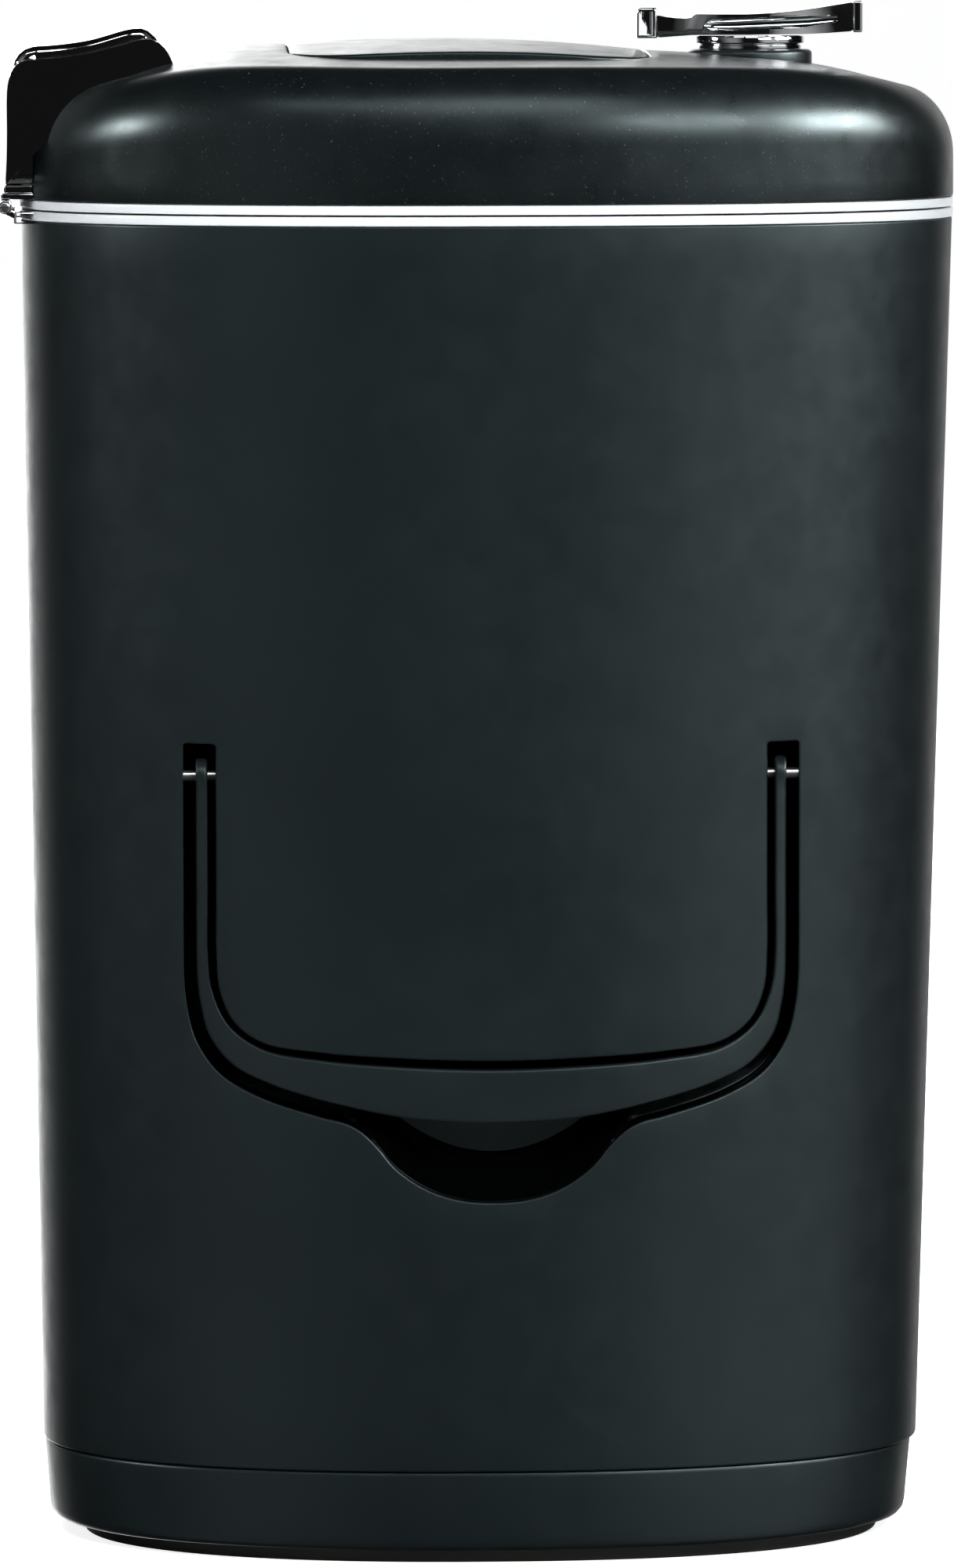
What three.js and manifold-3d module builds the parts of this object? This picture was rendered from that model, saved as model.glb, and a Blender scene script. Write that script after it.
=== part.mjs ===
// Manual kitchen trash compactor: a tapered oval bin with fold-out carry
// handles, a hinged lid with a quarter-turn latch lever, and a hand press that
// runs on two scissor linkages under the lid. Millimetres, +Z up, +X to the
// front (latch side), -X to the rear (hinge side). The origin is on the floor,
// under the middle of the whole object.
import * as THREE from 'three';
import { mergeVertices } from 'three/addons/utils/BufferGeometryUtils.js';
import Module from 'manifold-3d';

const wasm = await Module();
wasm.setup();

// ---------------------------------------------------------------- dimensions
const SHIFT_X = 4.55;          // moves the bin so that the whole object is centred
const SEG = 48;                // facets round the oval
const OVAL = 2.3;              // exponent of the oval plan (2 would be an ellipse)
const GAP = 0.3;               // standing gap between touching pieces

// bin
const BODY_Z0 = 40, BODY_Z1 = 566.4;
const WALL = 3;
const TOP = { cx: 0, a: 200.5, b: 146 };       // half length and half depth at the rim
const BOT = { cx: -4.1, a: 189.2, b: 136 };    // the same at the bottom seam
// base and foot
const BASE_Z0 = 6, BASE_FLOOR = 3.2, FOOT_Z = 5.7;
// rings on the mouth
const BRING_Z0 = 566.7, BRING_Z1 = 570.6;
const LRING_Z0 = 571.4, LRING_Z1 = 575.3;
const RING_IN = 14;            // width of the ring flanges
// lid
const LID_Z0 = 575.6, LID_WALL = 3;
const LID_RIDGE = [[-205, 610], [-190, 616], [-174.5, 621.5], [-166, 625.5], [-150, 632], [-135, 636.8],
  [-120, 639.2], [-103, 640.3], [-60, 641], [-10, 640.4], [30, 639.6], [64, 638.4], [87, 636.9], [100, 636],
  [125, 634], [141, 632.2], [161, 628], [174.8, 623.2], [190, 617.5], [205, 611]];
// press
const CAP = { x0: -86, x1: 67, y: 95, r: 30, crown: 2.7, bottom: 629.5 };
const ARM_L = 156, ARM_W = 10, ARM_T = 3.2;
const PIV_X = -86, PIV_ZU = 563.5, PIV_ZL = 549.5;   // fixed pivots: frame and plate
const PLATE = { a: 174, b: 118, z0: 538.2, z1: 543.7 };
const RAIL_Y0 = 99.5, RAIL_Y1 = 103, ARM_A_Y = 103.6, ARM_B_Y = 107.6;
const PIN_R = 3;
// hinge
const HINGE = { x: -207, z: 572.3, r: 3, half: 46, mid: 27.7, pin: 1.6 };
// latch
const LATCH_X = 113.5;
// carry handles
const HANDLE_Z = 334, HANDLE_ARM_IN = 120, HANDLE_ARM_OUT = 124.9;
const POCKET_DEPTH = 17, SCOOP_DEPTH = 27;

// ---------------------------------------------------------------- helpers
function bare(g) {
  const c = g.index ? g.toNonIndexed() : g.clone();
  for (const k of Object.keys(c.attributes)) if (k !== 'position') c.deleteAttribute(k);
  return mergeVertices(c, 1e-4);
}
function solid(g) {
  const c = bare(g);
  return new wasm.Manifold(new wasm.Mesh({
    numProp: 3,
    vertProperties: new Float32Array(c.attributes.position.array),
    triVerts: new Uint32Array(c.index.array),
  }));
}
function shape3(m) {
  const k = m.getMesh();
  const g = new THREE.BufferGeometry();
  g.setAttribute('position', new THREE.BufferAttribute(new Float32Array(k.vertProperties), 3));
  g.setIndex(new THREE.BufferAttribute(new Uint32Array(k.triVerts), 1));
  return g;
}
const cut = (a, ...b) => b.reduce((m, s) => m.subtract(s), a);
const join = (a, ...b) => b.reduce((m, s) => m.add(s), a);
const lerp = (a, b, t) => a + (b - a) * t;
function table(t, x) {
  if (x <= t[0][0]) return t[0][1];
  for (let i = 1; i < t.length; i++) {
    if (x <= t[i][0]) return lerp(t[i - 1][1], t[i][1], (x - t[i - 1][0]) / (t[i][0] - t[i - 1][0]));
  }
  return t[t.length - 1][1];
}
const pw = (v) => Math.sign(v) * Math.abs(v) ** (2 / OVAL);
const CS = [...Array(SEG).keys()].map((i) => {
  const t = (i / SEG) * Math.PI * 2;
  return [pw(Math.cos(t)), pw(Math.sin(t)), t];
});
const oval = (cx, a, b, z) => CS.map(([c, s]) => [cx + a * c, b * s, z]);
function mesh3(points, tris) {
  const g = new THREE.BufferGeometry();
  g.setAttribute('position', new THREE.BufferAttribute(new Float32Array(points.flat()), 3));
  g.setIndex(tris.flat());
  return g;
}
// solid through rings of equal point count, closed by fans at both ends
function loft(rings) {
  const n = rings[0].length, pts = rings.flat(), tris = [];
  for (let r = 0; r + 1 < rings.length; r++) {
    for (let j = 0; j < n; j++) {
      const k = (j + 1) % n, a = r * n + j, b = r * n + k, c = (r + 1) * n + k, d = (r + 1) * n + j;
      tris.push([a, b, c], [a, c, d]);
    }
  }
  const mid = (ring) => ring.reduce((s, p) => [s[0] + p[0] / n, s[1] + p[1] / n, s[2] + p[2] / n], [0, 0, 0]);
  const lo = pts.length, hi = lo + 1;
  pts.push(mid(rings[0]), mid(rings[rings.length - 1]));
  const last = (rings.length - 1) * n;
  for (let j = 0; j < n; j++) {
    const k = (j + 1) % n;
    tris.push([lo, k, j], [hi, last + j, last + k]);
  }
  return mesh3(pts, tris);
}
// ring-shaped solid: the ring list runs round the section and closes on itself
function loop(rings) {
  const n = rings[0].length, m = rings.length, pts = rings.flat(), tris = [];
  for (let r = 0; r < m; r++) {
    const q = (r + 1) % m;
    for (let j = 0; j < n; j++) {
      const k = (j + 1) % n, a = r * n + j, b = r * n + k, c = q * n + k, d = q * n + j;
      tris.push([a, b, c], [a, c, d]);
    }
  }
  return mesh3(pts, tris);
}
function outline(pts) {
  const s = new THREE.Shape();
  pts.forEach(([x, y], i) => (i ? s.lineTo(x, y) : s.moveTo(x, y)));
  s.closePath();
  return s;
}
const flat = (d) => ({ depth: d, bevelEnabled: false, steps: 1, curveSegments: 6 });
// profile in X,Z carried along Y
function alongY(pts, y0, y1) {
  const g = new THREE.ExtrudeGeometry(outline(pts), flat(y1 - y0));
  g.rotateX(Math.PI / 2);
  g.translate(0, y1, 0);
  return g;
}
// profile in X,Y carried along Z
function alongZ(pts, z0, z1) {
  const g = new THREE.ExtrudeGeometry(outline(pts), flat(z1 - z0));
  g.translate(0, 0, z0);
  return g;
}
function rod(axis, r, p, from, to, n = 20) {
  const g = new THREE.CylinderGeometry(r, r, to - from, n);
  const m = (from + to) / 2;
  if (axis === 'x') { g.rotateZ(-Math.PI / 2); g.translate(m, p[0], p[1]); }
  if (axis === 'y') g.translate(p[0], m, p[1]);
  if (axis === 'z') { g.rotateX(Math.PI / 2); g.translate(p[0], p[1], m); }
  return g;
}
const bore = (axis, r, p, from, to, n = 20) => rod(axis, r / Math.cos(Math.PI / n), p, from, to, n);
function block(x0, x1, y0, y1, z0, z1) {
  const g = new THREE.BoxGeometry(x1 - x0, y1 - y0, z1 - z0);
  g.translate((x0 + x1) / 2, (y0 + y1) / 2, (z0 + z1) / 2);
  return g;
}
function roundRect(x0, x1, y0, y1, r, k = 5) {
  const out = [];
  const corners = [[x1 - r, y1 - r, 0], [x0 + r, y1 - r, 90], [x0 + r, y0 + r, 180], [x1 - r, y0 + r, 270]];
  for (const [cx, cy, a] of corners) {
    for (let i = 0; i <= k; i++) {
      const t = ((a + (90 * i) / k) * Math.PI) / 180;
      out.push([cx + r * Math.cos(t), cy + r * Math.sin(t)]);
    }
  }
  return out;
}
const mirrorY = (m) => m.mirror([0, 1, 0]);

const group = new THREE.Group();
group.position.set(SHIFT_X, 0, 0);
function add(name, part, color, roughness, metalness) {
  const g = part.isBufferGeometry ? bare(part) : shape3(part);
  const m = new THREE.Mesh(g, new THREE.MeshStandardMaterial({ color, roughness, metalness }));
  m.name = name;
  group.add(m);
}
const BLACK = [0x1b1f20, 0.55, 0.0];
const GLOSS = [0x0c0d0e, 0.25, 0.0];
const CHROME = [0xc9ccd0, 0.12, 1.0];
const STEEL = [0xa5a8ab, 0.35, 1.0];
const WHITE = [0xf2f3f5, 0.35, 0.0];
const RUBBER = [0x2a2420, 0.85, 0.0];
const NYLON = [0x33373a, 0.5, 0.0];

// ---------------------------------------------------------------- bin
const at = (z) => {
  const t = (z - BODY_Z0) / (BRING_Z1 - BODY_Z0);
  return { cx: lerp(BOT.cx, TOP.cx, t), a: lerp(BOT.a, TOP.a, t), b: lerp(BOT.b, TOP.b, t) };
};
const wallRing = (z, off) => { const s = at(z); return oval(s.cx, s.a - off, s.b - off, z); };
const column = (off, z0, z1) => solid(loft([wallRing(z0, off), wallRing(z1, off)]));

// half outlines of the pocket and of the carry handle, right of the middle
const P_OUT = [[130.2, 348], [130.2, 246], [128.5, 234.6], [125.5, 221.9], [115.3, 208.2], [98.7, 198.9],
  [73, 190.3], [56.8, 185.9], [40, 184], [0, 181]];
const P_IN = [[0, 215], [46, 216.9], [73, 218.2], [97.5, 221.4], [109, 227.2], [116, 247.2], [116.6, 262], [116.6, 348]];
const both = (half) => [...half.slice().reverse().map(([x, z]) => [-x, z]).slice(0, -1), ...half];
const mid = at(240).cx;
const sh = (pts) => pts.map(([x, z]) => [x + mid, z]);
// U outline: down the left outer edge, along the bottom, up the right outer edge,
// then down the right inner edge and back up the left inner edge
function uShape(outer, inner) {
  const left = outer.map(([x, z]) => [-x, z]);
  const right = outer.slice(0, -1).reverse();
  const innerR = inner.slice(1).reverse();
  const innerL = inner.map(([x, z]) => [-x, z]);
  return sh([...left, ...right, ...innerR, ...innerL]);
}

const pocketU = uShape(P_OUT, P_IN);
const P_OUT_B = [[133.2, 351], [133.2, 246], [131.5, 233.8], [128.2, 220.3], [117.2, 205.7], [99.8, 196], [73.8, 187.4],
  [58.6, 183.1], [42, 181], [0, 178]];
const P_IN_B = [[0, 218], [46, 219.9], [72.6, 221.2], [95.7, 224], [106.6, 229.2], [113, 247.8], [113.6, 262], [113.6, 351]];
const boxU = uShape(P_OUT_B, P_IN_B);
// finger scoop: half outlines of its lip on the wall and of its deep back, and the same 3 mm further out
const S_LIP = [[0, 154.8], [16.5, 157.1], [29.2, 161.2], [41.8, 169.4], [49.4, 178.9], [54, 184.5], [54, 206]];
const S_BACK = [[0, 174], [14, 175.8], [26, 180.2], [34, 184.8], [40.5, 189.5], [46, 195], [46, 206]];
const S_LIP_B = [[0, 151.6], [17.2, 153.9], [30.6, 158], [43.9, 166.6], [51.9, 176.4], [57.2, 182], [57.2, 209]];
const S_BACK_B = [[0, 171], [15, 172.8], [27.6, 177.4], [36, 182.2], [42.9, 187.2], [49, 193.6], [49, 209]];

const P0 = 120, P1 = 380;
const deep = column(POCKET_DEPTH, P0, P1), deepB = column(POCKET_DEPTH + WALL, P0, P1);
const farY = 170;
const uNear = solid(alongY(pocketU, -farY, 0)), uNearB = solid(alongY(boxU, -farY, 0));
const wallY = (x, z, off) => {
  const s = at(z);
  return (s.b - off) * (1 - Math.abs((x - s.cx) / (s.a - off)) ** OVAL) ** (1 / OVAL);
};
// ramp from the lip outline down to the back outline, at distances behind the wall
function ramp(lip, back, offs) {
  const side = (k) => lip.map(([x, z], i) => [lerp(x, back[i][0], k), lerp(z, back[i][1], k)]);
  return solid(loft(offs.map(([off, k]) => {
    const h = side(k);
    const all = [...h.slice().reverse(), ...h.slice(1).map(([x, z]) => [-x, z])];
    return sh(all).map(([x, z]) => [x, -wallY(x, z, off), z]);
  })));
}
const S = SCOOP_DEPTH;
let hollowNear = join(cut(uNear, deep), ramp(S_LIP, S_BACK, [[-6, 0], [2.2, 0], [S * 0.67, 0.42], [S, 1]]));
const boxNear = join(cut(uNearB, deepB), ramp(S_LIP_B, S_BACK_B, [[-6, 0], [5.2, 0], [S * 0.67 + WALL, 0.42], [S + WALL, 1]]));
// blind seats for the handle pins in the channel side walls
const HANDLE_Y = -(wallY(mid + 122.5, HANDLE_Z, 0) - 8.2);
const seat = (x0, x1) => solid(bore('x', 2.8, [HANDLE_Y, HANDLE_Z], x0, x1, 16));
for (const [x0, x1] of [[114.6, 118], [129, 132.2]]) {
  hollowNear = join(hollowNear, seat(mid + x0, mid + x1), seat(mid - x1, mid - x0));
}
let shell = column(0, BODY_Z0, BODY_Z1);
let hollow = column(WALL, BODY_Z0 - 5, BODY_Z1 + 5);
const outerBody = shell;
hollow = cut(hollow, boxNear, mirrorY(boxNear));
shell = cut(shell, hollow, hollowNear, mirrorY(hollowNear));
add('body_shell', shell, ...BLACK);

// base tray: wall, floor and an upstand that snaps into the bin
const baseRing = (z, l, r, b, off = 0) => {
  const cx = (l + r) / 2, a = (r - l) / 2;
  return oval(cx, a - off, b - off, z);
};
let base = solid(loft([
  baseRing(BASE_Z0, -185.2, 174.9, 130.4), baseRing(BASE_Z0 + 1.2, -188.9, 178.4, 133), baseRing(BASE_Z0 + 5, -190.8, 180.3, 134.2),
  baseRing(BODY_Z0 - GAP, -192.9, 183, 135.6)]));
base = join(base, solid(loft([wallRing(BODY_Z0 - 4, WALL + 0.35), wallRing(BODY_Z0 + 12, WALL + 0.35)])));
base = cut(base, solid(loft([
  baseRing(BASE_Z0 + BASE_FLOOR, -182.5, 172, 126.5), baseRing(BASE_Z0 + 9, -186, 175.6, 129.8), baseRing(BODY_Z0 + 14, -187, 179.4, 130.2)])));
add('base_tray', base, ...BLACK);
const foot = (off, z) => baseRing(z, -176, 168, 124, off);
add('foot_ring', loop([foot(0.8, 0), foot(0, 1.2), foot(0, FOOT_Z), foot(14, FOOT_Z), foot(14, 0)]), ...RUBBER);

// lower ring on the mouth: flange, outer skirt inside the bin wall, inner lip
const rr = (off, z) => oval(TOP.cx, TOP.a + 0.4 - off, TOP.b + 0.4 - off, z);
add('body_rim_ring', loop([
  rr(0, BRING_Z0), rr(0, BRING_Z1), rr(RING_IN, BRING_Z1), rr(RING_IN, 556), rr(RING_IN - 2.4, 556), rr(RING_IN - 2.4, BRING_Z0),
  rr(6.6, BRING_Z0), rr(6.6, 553), rr(4.2, 553), rr(4.2, BRING_Z0)]), ...WHITE);
add('bag_ring', loop([rr(7.2, 548), rr(7.2, 562), rr(11, 562), rr(11, 548)]), ...NYLON);

// ---------------------------------------------------------------- carry handles
const H_OUT = [[124.9, 334], [124.9, 246], [123.9, 237.7], [121.2, 224], [109.6, 211.5], [79.5, 198.9], [66, 196.2],
  [36, 190.7], [0, 188.4]];
const H_IN = [[0, 211], [46, 213.1], [73, 215.4], [97.5, 218.7], [112.6, 229.3], [119.3, 246.2], [120, 262], [120, 334]];
let bail = solid(alongY(uShape(H_OUT, H_IN), -farY, 0));
bail = cut(bail.intersect(column(1.6, P0, P1)), column(13.2, P0, P1));
for (const s of [-1, 1]) {
  const x0 = mid + (s < 0 ? -HANDLE_ARM_OUT : HANDLE_ARM_IN), x1 = mid + (s < 0 ? -HANDLE_ARM_IN : HANDLE_ARM_OUT);
  bail = join(bail, solid(rod('x', 7.4, [HANDLE_Y, HANDLE_Z], x0, x1, 24)));
  bail = join(bail, solid(block(x0, x1, HANDLE_Y - 5, HANDLE_Y + 4.6, HANDLE_Z - 12, HANDLE_Z)));
}
for (const s of [-1, 1]) {
  bail = cut(bail, solid(bore('x', 2.6, [HANDLE_Y, HANDLE_Z], mid + s * 122.45 - 6, mid + s * 122.45 + 6, 20)));
}
add('handle_near', bail, ...BLACK);
add('handle_far', mirrorY(bail), ...BLACK);
for (const [side, f] of [['near', 1], ['far', -1]]) {
  for (const [end, s] of [['rear', -1], ['front', 1]]) {
    const x0 = mid + (s < 0 ? -131.8 : 115), x1 = mid + (s < 0 ? -115 : 131.8);
    add(`handle_pin_${side}_${end}`, rod('x', 2.5, [f * HANDLE_Y, HANDLE_Z], x0, x1, 20), ...STEEL);
  }
}

// ---------------------------------------------------------------- lid
const LID = { a: TOP.a + 0.4, b: TOP.b + 0.4 };
const lidTop = (x, y) => table(LID_RIDGE, x) - (9.8 - 0.03 * x) * (y / 146) ** 2;
function lidRings(off, drop, z0) {
  const rings = [];
  const a = LID.a - off, b = LID.b - off;
  const edge = CS.map(([c, s, t]) => {
    const w = Math.abs(Math.cos(t)) ** 1.5;
    const rh = lerp(22, 26, w) - off * 0.6, rv = lerp(34, 30, w) - off * 0.6;
    const x = (a - rh) * c, y = (b - rh) * s;
    return { c, s, rh, rv, z: lidTop(x, y) - drop };
  });
  rings.push(CS.map(([c, s]) => [a * c, b * s, z0]));
  for (const f of off > 0 ? [0, 45, 90] : [0, 22, 45, 68, 90]) {
    const cf = Math.cos((f * Math.PI) / 180), sf = Math.sin((f * Math.PI) / 180);
    rings.push(edge.map((e) => {
      const o = e.rh * (1 - cf);
      return [(a - o) * e.c, (b - o) * e.s, e.z - e.rv * (1 - sf)];
    }));
  }
  for (const k of off > 0 ? [0.6, 0.25] : [0.8, 0.5, 0.2]) {
    rings.push(edge.map((e) => {
      const x = (a - e.rh) * e.c * k, y = (b - e.rh) * e.s * k;
      return [x, y, lidTop(x, y) - drop];
    }));
  }
  return rings;
}
const lidOuter = solid(loft(lidRings(0, 0, LID_Z0)));
const lidInner = solid(loft(lidRings(LID_WALL, LID_WALL, LID_Z0 - 5)));
const lidGrown = solid(loft(lidRings(-0.5, -0.5, LID_Z0 - 1)));
const capHole = roundRect(CAP.x0 - 0.8, CAP.x1 + 0.8, -CAP.y - 0.8, CAP.y + 0.8, CAP.r + 0.8);
let lid = cut(lidOuter, lidInner, solid(alongZ(capHole, 600, 660)), solid(bore('z', 7, [LATCH_X, 0], 600, 660, 24)));
add('lid_shell', lid, ...BLACK);

add('lid_ring', loop([
  rr(0, LRING_Z0), rr(0, LRING_Z1), rr(RING_IN, LRING_Z1), rr(RING_IN, LRING_Z0),
  rr(9.6, LRING_Z0), rr(9.6, 573.4), rr(6, 573.4), rr(6, LRING_Z0)]), ...WHITE);
add('lid_gasket', loop([rr(6.3, 571.0), rr(6.3, 573.1), rr(9.3, 573.1), rr(9.3, 571.0)]), ...RUBBER);

// frame under the lid, open under the press cap, with the shaft's bearing hole
let frame = solid(loft([rr(RING_IN + 0.5, 571.6), rr(RING_IN + 0.5, 575.2)]));
const frameHole = roundRect(CAP.x0 - 3, CAP.x1 + 3, -CAP.y - 2.5, CAP.y + 2.5, CAP.r);
frame = cut(frame, solid(alongZ(frameHole, 560, 590)), solid(bore('z', 6.08, [LATCH_X, 0], 560, 590, 24)));
add('press_frame', frame, ...NYLON);

// hinge: fixed bracket, pin, strap on the lid and the two-tier arm over the edge
const hz = HINGE.z, hx = HINGE.x;
const mouth = solid(loft([oval(TOP.cx, TOP.a + 0.8, TOP.b + 0.8, 540), oval(TOP.cx, TOP.a + 0.8, TOP.b + 0.8, 600)]));
let bracket = solid(alongY([[-203.3, 565.4], [-180, 565.4], [-180, 570.6], [-203.3, 570.6]], -HINGE.half, HINGE.half));
for (const s of [-1, 1]) {
  const y0 = s < 0 ? -HINGE.half : HINGE.mid + 0.4, y1 = s < 0 ? -HINGE.mid - 0.4 : HINGE.half;
  bracket = join(bracket, solid(rod('y', HINGE.r, [hx, hz], y0, y1, 20)));
  bracket = join(bracket, solid(alongY([[-207, 569.3], [-202.5, 567.2], [-202.5, 570.6], [-207, 571.8]], y0, y1)));
}
bracket = cut(bracket, mouth, solid(bore('y', 1.9, [hx, hz], -60, 60, 16)));
add('hinge_bracket', bracket, ...CHROME);
let hpin = solid(rod('y', HINGE.pin, [hx, hz], -48.4, 48.4, 16));
for (const s of [-1, 1]) {
  let head = solid(rod('y', 2.3, [hx, hz], s < 0 ? -48.6 : 46.4, s < 0 ? -46.4 : 48.6, 20));
  head = cut(head, solid(block(hx - 4, hx + 4, s < 0 ? -49 : 48.0, s < 0 ? -48.0 : 49, hz - 0.4, hz + 0.4)));
  hpin = join(cut(hpin, solid(block(hx - 4, hx + 4, s < 0 ? -49 : 48.0, s < 0 ? -48.0 : 49, hz - 0.4, hz + 0.4))), head);
}
add('hinge_pin', hpin, ...STEEL);
let strap = solid(rod('y', HINGE.r, [hx, hz], -HINGE.mid, HINGE.mid, 20));
strap = join(strap, solid(alongY([[-208.9, 575.7], [-180, 575.7], [-180, 581.8], [-208.9, 581.8]], -HINGE.half, HINGE.half)));
strap = join(strap, solid(alongY([[-208.9, 573], [-205.2, 573], [-205.2, 577], [-208.9, 577]], -HINGE.mid, HINGE.mid)));
strap = cut(strap, lidGrown, solid(bore('y', 1.7, [hx, hz], -60, 60, 16)));
add('hinge_strap', strap, ...CHROME);
const ARM_TOP = [[-206.8, 582.2], [-206.0, 593.5], [-206.0, 618.8], [-205.5, 623.8], [-204.7, 628.9], [-203, 632.6], [-200.4, 634.8],
  [-195.3, 635.3], [-188.9, 635.6], [-183.7, 636.1], [-175.9, 637.2], [-166.7, 638.9], [-157.6, 641.2], [-151.8, 643.1],
  [-148.8, 643.9], [-146.3, 644.1], [-144.1, 643.8], [-141.1, 642.7], [-139, 641.2], [-135.7, 637.6]];
const armSolid = (dz) => solid(alongY([...ARM_TOP, [-133.6, 620], [-160, 600], [-190, 582.2]].map(([x, z]) => [x, z + dz]).reverse(),
  -HINGE.half, HINGE.half));
add('hinge_arm', cut(armSolid(0), lidGrown), ...CHROME);
const ARM_CAP = [[-202.6, 635.6], [-200.9, 637.3], [-198.8, 638.8], [-195.7, 640.2], [-187.9, 640.9], [-180.1, 641.8], [-170.6, 643.3],
  [-162.1, 645.6], [-156.3, 647.3], [-151.5, 648.1], [-148.5, 648.1], [-146.4, 647.3], [-144, 645.6], [-141.4, 643.4]];
const capUnder = [[-141.4, 630], [-200, 620], [-202.6, 630]];
let armCap = solid(alongY([...ARM_CAP, ...capUnder].reverse(), -17, 17));
armCap = cut(armCap, armSolid(0.3), solid(block(-210, -130, -60, 60, 610, 634.9)));
add('hinge_arm_cap', armCap, ...CHROME);

// latch: fixed turret base, then collar, lever, shaft, tongue and pad that turn
let turret = solid(loft([26.9, 26.9, 25.6].map((r, i) => [...Array(32).keys()].map((k) => {
  const t = (k / 32) * Math.PI * 2;
  return [LATCH_X + r * Math.cos(t), r * Math.sin(t), [628, 637.2, 638.2][i]];
}))));
turret = cut(turret, lidGrown, solid(bore('z', 6.6, [LATCH_X, 0], 600, 660, 24)));
add('turret_base', turret, ...GLOSS);
add('lever_collar', loft([[23.5, 638.5], [23.5, 643.4], [22.6, 644.2]].map(([r, z]) => [...Array(32).keys()].map((k) => {
  const t = (k / 32) * Math.PI * 2;
  return [LATCH_X + r * Math.cos(t), r * Math.sin(t), z];
}))), ...CHROME);
const LEVER = [[64.3, 643.2], [73.5, 643.4], [88, 644.5], [135.9, 644.9], [146.4, 645.3], [153, 645.8], [160.4, 645.4], [161.4, 646],
  [161.4, 658.6], [160.4, 659], [153.2, 658], [143, 656.3], [132.5, 654.9], [122.3, 653.8], [111.7, 653.3], [89, 653.6],
  [88.3, 652.6], [85.2, 651.7], [77, 652.4], [73.2, 653.4], [73.2, 655.6], [72.2, 656.3], [65.2, 656.3], [64.3, 655.6]];
const leverPlan = [[62, -12], [73, -13], [88, -16], [104, -18.5], [124, -18.5], [140, -15], [163, -12.5], [163, 12.5], [140, 15],
  [124, 18.5], [104, 18.5], [88, 16], [73, 13], [62, 12]];
add('lever', solid(alongY(LEVER, -20, 20)).intersect(solid(alongZ(leverPlan, 630, 670))), ...CHROME);
add('latch_shaft', rod('z', 6, [LATCH_X, 0], 559.2, 638.2, 24), ...STEEL);
let tongue = solid(alongZ([[103.5, -9], [120, -10], [180, -7], [180, 7], [120, 10], [103.5, 9], [101, 0]], 562.6, 566.4));
tongue = cut(tongue, solid(bore('z', 6.3, [LATCH_X, 0], 550, 580, 24)), solid(block(176.4, 190, -20, 20, 550, 580)));
add('latch_tongue', tongue, ...STEEL);
add('latch_pad', alongZ([[176.7, -10], [184.8, -10], [186.0, -5], [186.2, 0], [186.0, 5], [184.8, 10], [176.7, 10]], 561, 569.6), ...RUBBER);
const washer = (r0, r1, z0, z1, n = 24) => cut(solid(rod('z', r1, [LATCH_X, 0], z0, z1, n)), solid(bore('z', r0, [LATCH_X, 0], z0 - 2, z1 + 2, n)));
add('shaft_bush', washer(6.3, 11, 566.8, 571.2), ...NYLON);
add('shaft_clip', washer(6.3, 9.5, 560.2, 562.2), ...STEEL);

// ---------------------------------------------------------------- press
const inPlan = roundRect(CAP.x0, CAP.x1, -CAP.y, CAP.y, CAP.r, 6);
const capMid = [(CAP.x0 + CAP.x1) / 2, 0];
const capTop = (x, y) => lidTop(x, y) + CAP.crown * Math.max(0, 1 - ((x - capMid[0]) / 76.5) ** 2);
const capRing = (k, z) => inPlan.map(([x, y]) => {
  const X = capMid[0] + (x - capMid[0]) * k, Y = y * k;
  return [X, Y, z ?? capTop(X, Y)];
});
add('press_cap', loft([capRing(1, CAP.bottom), capRing(1), capRing(0.85), capRing(0.6), capRing(0.35), capRing(0.12)]), ...BLACK);
for (const [side, y] of [['near', -58], ['far', 58]]) {
  for (const [end, x] of [['rear', -52], ['front', 34]]) {
    add(`press_post_${side}_${end}`, rod('z', 7, [x, y], PLATE.z1 + GAP, CAP.bottom - GAP, 20), ...NYLON);
  }
}
const po = (off, z) => oval(-1, PLATE.a - off, PLATE.b - off, z);
add('press_plate', loft([po(6, PLATE.z0), po(0, PLATE.z0 + 2.2), po(0, PLATE.z1)]), ...NYLON);
add('plate_wiper', loop([po(-0.4, 540.2), po(-3.6, 541), po(-3.6, 543.4), po(-0.4, 544.2)]), ...RUBBER);

// scissor linkages, one on each side
const rise = PIV_ZU - PIV_ZL;
const span = Math.sqrt(ARM_L ** 2 - rise ** 2);
const END_X = PIV_X + span, MID_X = PIV_X + span / 2, MID_Z = (PIV_ZU + PIV_ZL) / 2;
const SLOT_X0 = PIV_X + ARM_L * Math.cos((52.5 * Math.PI) / 180) - 4.5;
function bar(p, q, y0, y1, holes) {
  const dx = q[0] - p[0], dz = q[1] - p[1], L = Math.hypot(dx, dz), a0 = Math.atan2(dz, dx), r = ARM_W / 2;
  const pts = [];
  for (let i = 0; i <= 6; i++) { const t = a0 - Math.PI / 2 + (i / 6) * Math.PI; pts.push([q[0] + r * Math.cos(t), q[1] + r * Math.sin(t)]); }
  for (let i = 0; i <= 6; i++) { const t = a0 + Math.PI / 2 + (i / 6) * Math.PI; pts.push([p[0] + r * Math.cos(t), p[1] + r * Math.sin(t)]); }
  let s = solid(alongY(pts, y0, y1));
  for (const [x, z, rad] of holes) s = cut(s, solid(bore('y', rad, [x, z], y0 - 2, y1 + 2, 16)));
  return s;
}
const armA = bar([PIV_X, PIV_ZU], [END_X, PIV_ZL], ARM_A_Y, ARM_A_Y + ARM_T,
  [[PIV_X, PIV_ZU, 3.1], [MID_X, MID_Z, 3.3], [END_X, PIV_ZL, 3.3]]);
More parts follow.
